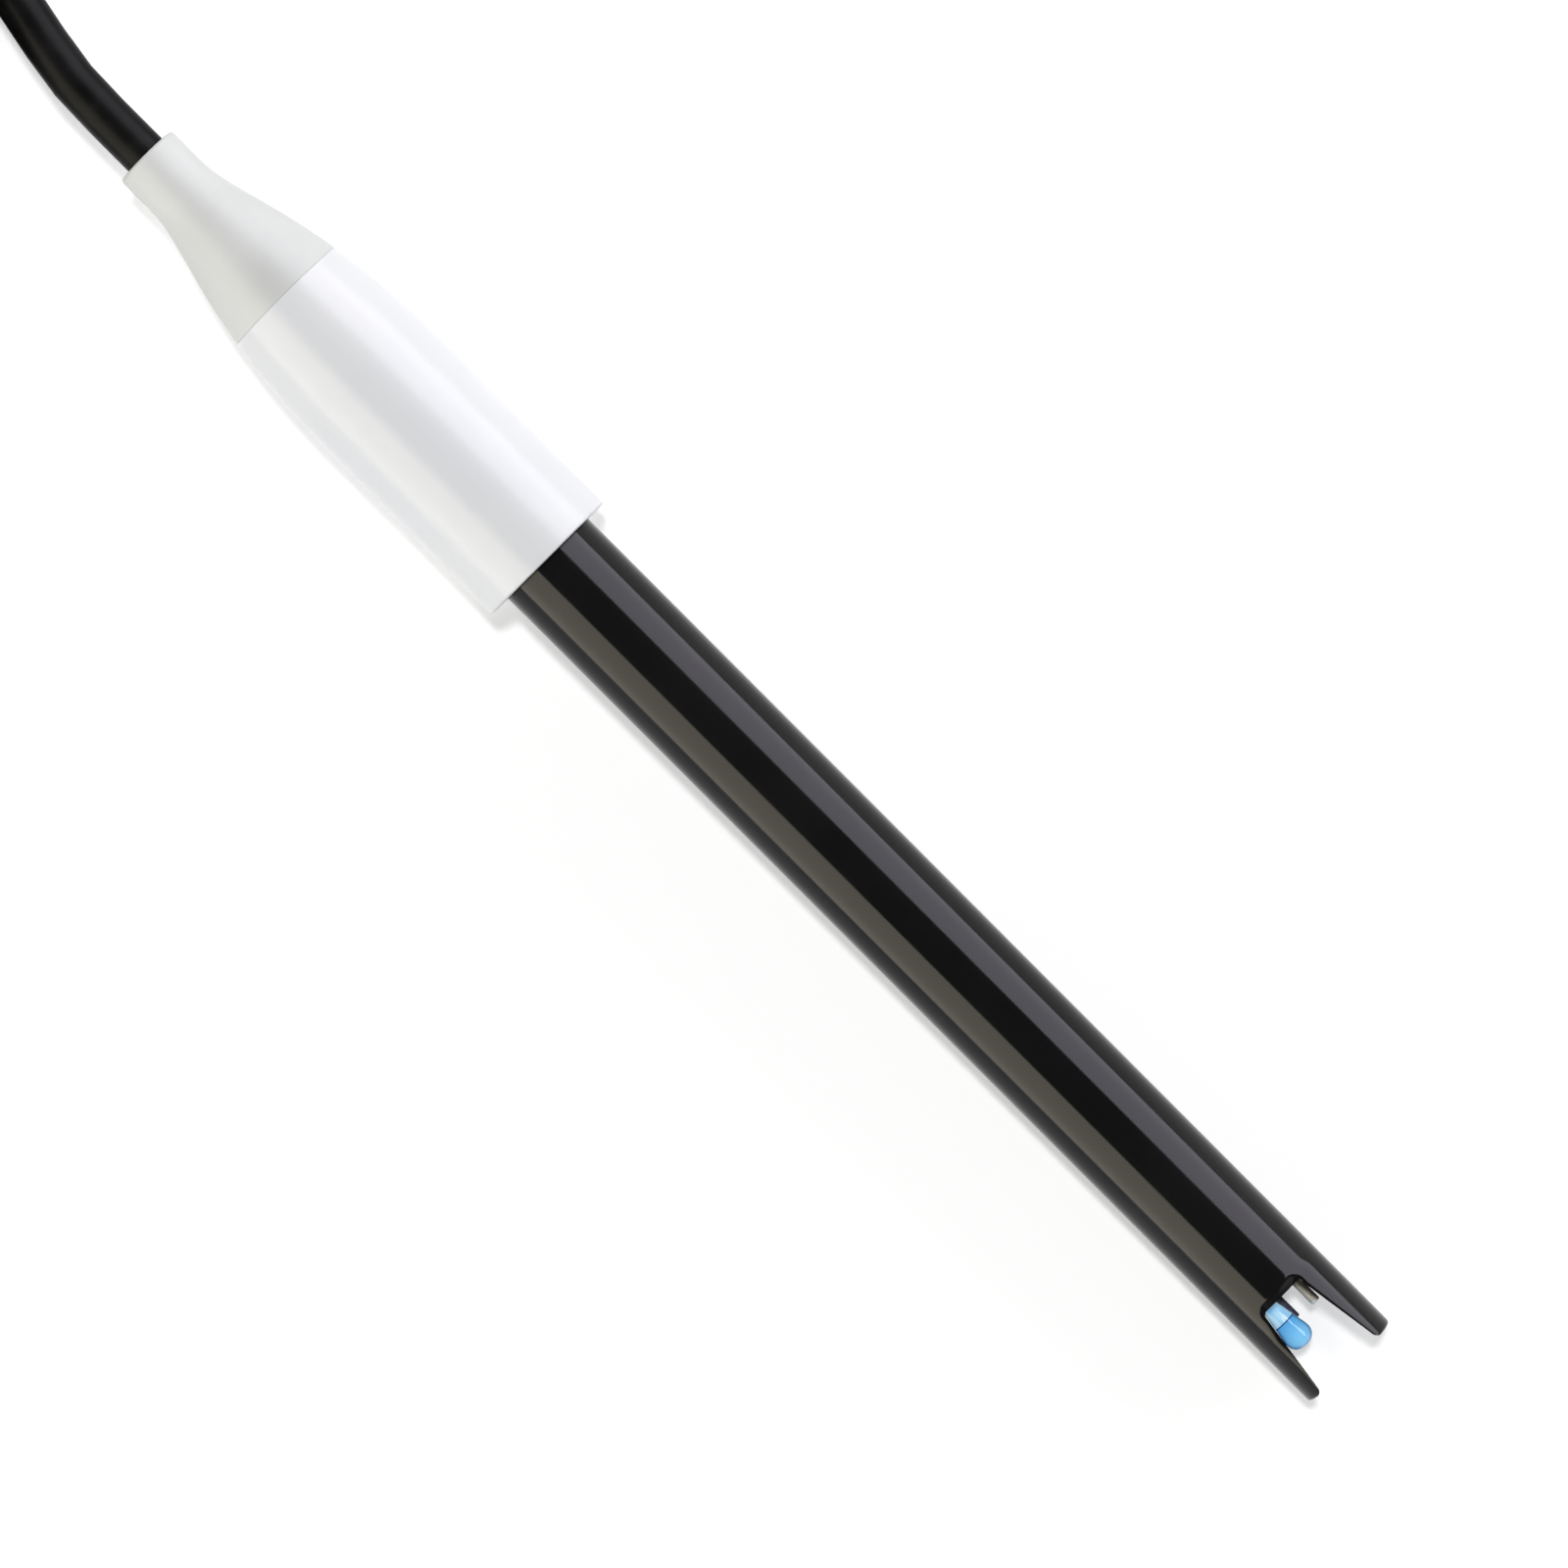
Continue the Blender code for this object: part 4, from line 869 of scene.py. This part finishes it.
def fold(middle_x, start, height):
    """The inner points of a round fold, from this angle on through half a turn."""
    angles = [start + math.pi * i / fold_steps for i in range(1, fold_steps)]
    return [(middle_x + hank_turn * math.cos(angle), hank_middle + hank_turn * math.sin(angle), height)
            for angle in angles]


shares = [i / run_steps for i in range(run_steps + 1)]
hank_points = []
for turn in range(4):
    hank_points += [leaving_run(turn, share) for share in shares]
    if turn < 3:
        hank_points += fold(hank_far, 0.5 * math.pi, layers[turn])
        hank_points += [run_point(1.0 - share, -1, 0.0, layers[turn]) for share in shares]
        hank_points += fold(hank_near, -0.5 * math.pi, layers[turn])


def smooth_line(points, step):
    """Points about a step apart on a smooth curve through these points."""
    points = [Vector(point) for point in points]
    ends = [2.0 * points[0] - points[1]] + points + [2.0 * points[-1] - points[-2]]
    found = []
    for before, here, there, after in zip(ends, ends[1:], ends[2:], ends[3:]):
        count = max(1, round((there - here).length / step))
        for k in range(count):
            t = k / count
            found.append(0.5 * (2.0 * here + (there - before) * t
                                + (2.0 * before - 5.0 * here + 4.0 * there - after) * t ** 2
                                + (3.0 * here - before - 3.0 * there + after) * t ** 3))
    return found + [points[-1]]


def round_line(name, points, radius, sides):
    """A cable along these points, in millimetres, with closed ends."""
    curve = bpy.data.curves.new(name, "CURVE")
    curve.dimensions = "3D"
    curve.bevel_depth = radius * MM
    curve.bevel_resolution = sides
    curve.use_fill_caps = True
    spline = curve.splines.new("POLY")
    spline.points.add(len(points) - 1)
    for point, place in zip(spline.points, points):
        point.co = (*(place * MM), 1.0)
    spline.use_smooth = True
    piece = bpy.data.objects.new(name, curve)
    bpy.context.scene.collection.objects.link(piece)
    return piece


cable_line = smooth_line(cable_route + hank_points + tail_route, 3.5)
cable = round_line("coaxial_cable", cable_line, cable_radius, 8)

jacket_finish, jacket_shader, jacket_place = new_finish("black_jacket", ior=1.35, specular_ior_level=0.08)
jacket_cloud = jacket_place.noise(300.0, 2.0)
jacket_grain = jacket_place.noise(4500.0, 2.0)
feed(jacket_shader,
     base_color=jacket_cloud.mottled((0.005, 0.005, 0.005), (0.009, 0.009, 0.009)),
     roughness=0.3 + 0.12 * jacket_cloud,
     normal=jacket_grain.bump(0.25, 0.006))
fit(cable, jacket_finish, "electrode", "cable_jacket", "cable", "cable_hank", "cable_tail")

# Cable tie
# A black nylon tie pulled tight round the hank's waist. Its band has fine cross teeth where the lock bites,
# and the tail that stands out of the lock is cut short.

tie_middle = Vector((-164.5, -14.5, 0.0))
tie_half = 2.0
band_half = 7.8
band_foot = 1.0
band_top = 16.6
band_thickness = 0.9
tie_corner = 3.0
tie_axis = Matrix.Translation(tie_middle * MM)


def band_round(grow):
    """The band's line round the waist from the side, this far outside its inner face: y and height."""
    corner = tie_corner + grow
    side = band_half + grow - corner
    foot = band_foot - grow + corner
    top = band_top + grow - corner
    points = []
    for y, z, start in ((side, foot, -0.5), (side, top, 0.0), (-side, top, 0.5), (-side, foot, 1.0)):
        for step in range(arc_steps + 1):
            turn = math.pi * (start + 0.5 * step / arc_steps)
            points.append(Vector((y + corner * math.cos(turn), z + corner * math.sin(turn))))
    return points


band_sections = []
band_edge = 0.18
dip_half = 0.45
dip_depth = 0.12
for inner, outer in zip(band_round(0.02), band_round(band_thickness)):
    out = (outer - inner).normalized()
    dip = outer - out * dip_depth
    half_section = [(dip_half, dip), (dip_half + 0.1, outer), (tie_half - band_edge, outer),
                    (tie_half, outer - out * band_edge), (tie_half, inner + out * band_edge),
                    (tie_half - band_edge, inner)]
    section = [(-x, place) for x, place in reversed(half_section)] + half_section
    band_sections.append([(x, place.x, place.y) for x, place in section])
tie = lofted("nylon_tie", band_sections, tie_axis, looped=True)


def rounded_block(name, low, high, bend, axis):
    """A small moulded block with round edges, between two corners."""
    shape = bmesh.new()
    bmesh.ops.create_cube(shape, size=1.0)
    middle = (Vector(low) + Vector(high)) * 0.5
    size = Vector(high) - Vector(low)
    for vert in shape.verts:
        vert.co = Vector([(middle[i] + vert.co[i] * size[i]) * MM for i in range(3)])
    bmesh.ops.bevel(shape, geom=shape.edges[:], offset=bend * MM, segments=4, profile=0.6, affect="EDGES")
    return made_piece(name, shape, axis)


def joined(piece, *others):
    """Makes one piece of several."""
    shape = bmesh.new()
    for other in (piece, *others):
        mesh = other.data.copy()
        mesh.transform(piece.matrix_world.inverted() @ other.matrix_world)
        shape.from_mesh(mesh)
    shape.to_mesh(piece.data)
    shape.free()
    smooth_walls(piece.data)
    for other in others:
        bpy.data.objects.remove(other)


lock = rounded_block("tie_lock", (-2.0, 0.0, 17.0), (2.0, 3.4, 19.6), 0.35, tie_axis)
tail = rounded_block("tie_tail", (-1.9, 3.05, 17.1), (1.9, 3.95, 21.5), 0.15, tie_axis)
teeth = []
for step in range(5):
    low = 19.75 + 0.34 * step
    teeth.append(rounded_block("tooth" + str(step), (-1.3, 3.85, low), (1.3, 4.0, low + 0.2), 0.04, tie_axis))
joined(tie, lock, tail, *teeth)

tie_finish, tie_shader, tie_place = new_finish("black_nylon", ior=1.5)
tie_cloud = tie_place.noise(500.0, 3.0)
feed(tie_shader,
     base_color=tie_cloud.mottled((0.016, 0.016, 0.016), (0.030, 0.030, 0.030)),
     roughness=0.35 + 0.2 * tie_cloud,
     normal=tie_cloud.bump(0.3, 0.02))
fit(tie, tie_finish, "electrode", "tie_nylon", "cable_tie")

# Plug's coupling ring
# A nickel-plated brass ring that turns on the plug's body. Its grip is cut with straight ribs, and two
# slanted windows in its nose draw the socket's pins in, which enter by a keyway behind the front edge.

plug_axis = Matrix.Translation(Vector((-268.5, 1.0, 7.2)) * MM)
ring_radius = 7.2
grip_bore = 5.75
groove_radius = 6.3
nose_radius = 6.9
nose_bore = 5.0
nose_bore_end = 6.2
cutter_reach = (4.7, 7.3)
nose_length = 7.0
ring_length = 12.5
rib_count = 32
rib_depth = 0.25
track_width = 2.3
track_front = 1.9
track_ramp = 2.5
track_turn = math.radians(80.0)
clip_front = 10.45


def grip_ribs(radius, angle):
    """Only the grip is ribbed: the ring's full radius sinks in a wave between two ribs."""
    if radius < nose_radius + 0.1:
        return radius
    return radius - rib_depth * (0.5 - 0.5 * math.cos(rib_count * angle)) ** 0.7


def around_nose(along, around, radius, angle):
    """A point at this radius, with its distance round the ring measured on the nose from this angle."""
    turn = angle + around / nose_radius
    return (along, radius * math.sin(turn), radius * math.cos(turn))


def track(name, angle):
    """The slanted window, with round ends."""
    half = 0.5 * track_width
    length = track_turn * nose_radius
    ends = [half * (1.0 - math.cos(0.5 * math.pi * i / 8)) for i in range(8)]
    middle = [half + (length - track_width) * i / 16 for i in range(17)]
    slope = track_ramp / length
    sections = []
    low, high = cutter_reach
    for station in ends + middle + [length - end for end in reversed(ends)]:
        from_end = min(station, length - station, half)
        reach = max(math.sqrt(half ** 2 - (half - from_end) ** 2), 0.01) / math.hypot(1.0, slope)
        along = track_front + slope * station
        sections.append([around_nose(along + side * reach, station - side * slope * reach, radius, angle)
                         for side, radius in ((-1, low), (1, low), (1, high), (-1, high))])
    return lofted(name, sections, plug_axis)


def keyway(name, angle):
    """The groove inside the nose, from its front to the start of the window."""
    sections = []
    for along in (-0.3, track_front + 0.5 * track_width):
        section = [around_nose(along, track_width * i / 6, cutter_reach[0], angle) for i in range(7)]
        section += [around_nose(along, track_width * i / 6, groove_radius, angle) for i in range(6, -1, -1)]
        sections.append(section)
    return lofted(name, sections, plug_axis)


groove_front = clip_front - 0.3
groove_back = clip_front + 1.1
ring_corners = [
    (0.0, nose_bore, 0.12), (0.0, nose_radius, 0.35), (nose_length - 0.4, nose_radius, 0.0),
    (nose_length, nose_radius, 0.1), (nose_length + 0.3, ring_radius, 0.1),
    (ring_length - 0.45, ring_radius, 0.15), (ring_length, ring_radius - 0.4, 0.1),
    (ring_length, grip_bore, 0.12),
    (groove_back, grip_bore, 0.0), (groove_back, groove_radius, 0.0), (groove_front, groove_radius, 0.0),
    (groove_front, grip_bore, 0.0), (nose_bore_end, grip_bore, 0.0), (nose_bore_end, nose_bore, 0.0),
]
ring = turned("knurled_ring", softened(ring_corners), plug_axis, steps=256, ribs=grip_ribs)
cutters = []
for side, angle in {"upper": 0.25 * math.pi, "lower": 1.25 * math.pi}.items():
    cutters += [track(side + "_track", angle), keyway(side + "_keyway", angle)]
carve(ring, *cutters)


def plated_metal(name, dark, light, roughness):
    """Bright plating with faint turning marks round its axis, and duller where hands rub it."""
    finish, shader, place = new_finish(name, metallic=1.0)
    turning = place.stretched(9000.0, 60.0, 60.0)
    marks = turning.noise(1.0, 2.0)
    rubbed = place.noise(260.0, 4.0)
    feed(shader,
         base_color=rubbed.between(0.35, 0.7).blend(light, dark),
         roughness=roughness + 0.08 * marks + 0.12 * rubbed.between(0.45, 0.8),
         normal=marks.bump(0.15, 0.003))
    return finish


nickel = plated_metal("bright_nickel", (0.35, 0.34, 0.32), (0.45, 0.44, 0.42), 0.22)
fit(ring, nickel, "ring", "nickel_plate", "coupling_ring")

# Plug's body
# One turned and plated brass body. Four sprung fingers at its front make the outer contact, its flange seats
# the spring and the gasket, and the cable's braid is crimped on the stem behind its collar.

finger_front = 0.9
finger_radius = 4.05
finger_bore = 3.55
finger_bore_end = 14.4
flange_front = 7.8
flange_back = 9.0
flange_radius = 5.4
collar = (13.2, 15.4)
collar_radius = 4.8
crimp_stem_end = 21.7
crimp_stem_radius = 2.4
crimp_stem_bore = 1.5
slit_length = 6.2
slit_halves = {"flat_slit": (4.6, 0.25), "upright_slit": (0.25, 4.6)}
body_corners = [
    (finger_front, finger_bore, 0.1), (finger_front, finger_radius, 0.25), (flange_front, finger_radius, 0.0),
    (flange_front, flange_radius, 0.1), (flange_back, flange_radius, 0.1), (flange_back, 4.4, 0.0),
    (collar[0], 4.4, 0.0), (collar[0], collar_radius, 0.2), (collar[1], collar_radius, 0.2),
    (collar[1], crimp_stem_radius, 0.0), (crimp_stem_end, crimp_stem_radius, 0.1),
    (crimp_stem_end, crimp_stem_bore, 0.1), (finger_bore_end, crimp_stem_bore, 0.0),
    (finger_bore_end, finger_bore, 0.0),
]
plug_body = turned("turned_body", softened(body_corners), plug_axis, steps=96)
slits = []
for name, (wide, tall) in slit_halves.items():
    sections = [[(along, y, z) for y, z in ((-wide, -tall), (wide, -tall), (wide, tall), (-wide, tall))]
                for along in (0.0, slit_length)]
    slits.append(lofted(name, sections, plug_axis))
carve(plug_body, *slits)
fit(plug_body, nickel, "electrode", "nickel_plate", "plug_body")

# Spring and clip
# The wave washer is a ring of bare spring steel, bent in three waves. It sits between the body's flange and
# the open clip in the ring's groove. The clip's solid stays.

washer_inner = 4.7
washer_outer = 5.3
washer_half = 0.125
washer_edge = 0.04
washer_steps = 144
wave_count = 3
wave_height = 0.3
wave_middle = 9.725

washer_sections = []
for step in range(washer_steps):
    angle = math.tau * step / washer_steps
    middle = wave_middle + wave_height * math.cos(wave_count * angle)
    half_section = [(washer_half - washer_edge, washer_outer), (washer_half, washer_outer - washer_edge),
                    (washer_half, washer_inner + washer_edge), (washer_half - washer_edge, washer_inner)]
    section = [(-along, radius) for along, radius in reversed(half_section)] + half_section
    washer_sections.append([(middle + along, radius * math.cos(angle), radius * math.sin(angle))
                            for along, radius in section])
washer = lofted("steel_washer", washer_sections, plug_axis, looped=True)

spring_steel = drawn_metal("spring_steel", (0.48, 0.48, 0.48), (0.62, 0.62, 0.61), 0.24,
                           streaks=(400.0, 2500.0, 2500.0))
washer.data.materials.append(spring_steel)
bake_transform(washer)
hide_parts("wave_washer")
dress("retaining_clip", spring_steel)

# Plug's gasket and insulator
# A ring of red silicone seals the plug against its socket. A turned white insulator holds the gold-plated
# centre pin in the middle of the fingers.

gasket_corners = [(6.9, 4.35, 0.1), (6.9, 5.2, 0.2), (7.5, 5.2, 0.2), (7.5, 4.35, 0.1)]
plug_gasket = turned("silicone_gasket", softened(gasket_corners), plug_axis, steps=96)
silicone = moulded_rubber("red_silicone", (0.42, 0.05, 0.035), (0.52, 0.08, 0.055), grain=2500.0,
                          roughness=0.45)
fit(plug_gasket, silicone, "electrode", "red_silicone", "plug_gasket")

insulator_corners = [(5.5, 0.75, 0.1), (5.5, 1.9, 0.15), (6.1, 2.1, 0.1), (6.1, 3.2, 0.15), (6.4, 3.45, 0.1),
                     (14.1, 3.45, 0.1), (14.1, 0.975, 0.1)]
insulator = turned("turned_insulator", softened(insulator_corners), plug_axis, steps=96)
insulator_finish, insulator_shader, insulator_place = new_finish(
    "white_insulator", ior=1.38, subsurface_weight=0.2, subsurface_scale=0.8 * MM)
tool_lines = insulator_place.stretched(6000.0, 200.0, 200.0)
tool_line = tool_lines.noise(1.0, 2.0)
feed(insulator_shader,
     base_color=tool_line.mottled((0.82, 0.82, 0.80), (0.90, 0.90, 0.88)),
     roughness=0.32 + 0.15 * tool_line,
     normal=tool_line.bump(0.2, 0.008))
fit(insulator, insulator_finish, "electrode", "white_insulator", "plug_insulator")

# Centre pin
# The inner contact is a turned brass pin with a round nose and bright gold plate.

contact_corners = [(2.4, 0.0, 0.0), (2.4, 0.3, 0.1), (3.1, 0.675, 0.3), (13.8, 0.675, 0.0), (13.8, 0.0, 0.0)]
contact = turned("gold_contact", softened(contact_corners, 6), plug_axis, steps=48, closed=False)
gold = plated_metal("bright_gold", (0.62, 0.42, 0.14), (0.74, 0.54, 0.22), 0.18)
fit(contact, gold, "electrode", "gold_plate", "centre_pin")

# Crimp sleeve and plug boot
# The crimped sleeve under the boot holds the cable's braid. The boot is black matt rubber, pushed over it up
# to the collar, with three grooves that let it bend.

dress("crimp_sleeve", nickel)

boot_front = 16.0
boot_end = 42.0
boot_over = 3.7
boot_outer = 4.6
boot_tail = 3.6
boot_step = 25.3
groove_pitch = 2.4
groove_depth = 0.45


def boot_skin(along):
    share = (along - boot_front) / (boot_end - boot_front)
    return boot_outer + (boot_tail - boot_outer) * share ** 1.5


plug_boot_corners = [(boot_front, boot_over, 0.1), (boot_front, boot_outer, 0.3)]
plug_boot_corners += [(along, boot_skin(along), 0.0) for along in (18.0, 21.0, 24.0, 27.0, 30.0, 32.5)]
for groove in range(3):
    low = boot_end - 3.5 * groove_pitch + groove * groove_pitch + 0.25 * groove_pitch
    high = low + 0.25 * groove_pitch
    plug_boot_corners += [(low - 0.15, boot_skin(low), 0.12), (low, boot_skin(low) - groove_depth, 0.15),
                          (high, boot_skin(high) - groove_depth, 0.15), (high + 0.15, boot_skin(high), 0.12)]
plug_boot_corners += [(boot_end, boot_tail, 0.4), (boot_end, boot_bore, 0.15), (boot_step, boot_bore, 0.0),
                      (boot_step, boot_over, 0.0)]
plug_boot = turned("rubber_boot", softened(plug_boot_corners), plug_axis, steps=96)
boot_rubber = moulded_rubber("plug_rubber", (0.012, 0.012, 0.012), (0.022, 0.022, 0.022), roughness=0.5)
fit(plug_boot, boot_rubber, "electrode", "plug_rubber", "plug_boot")
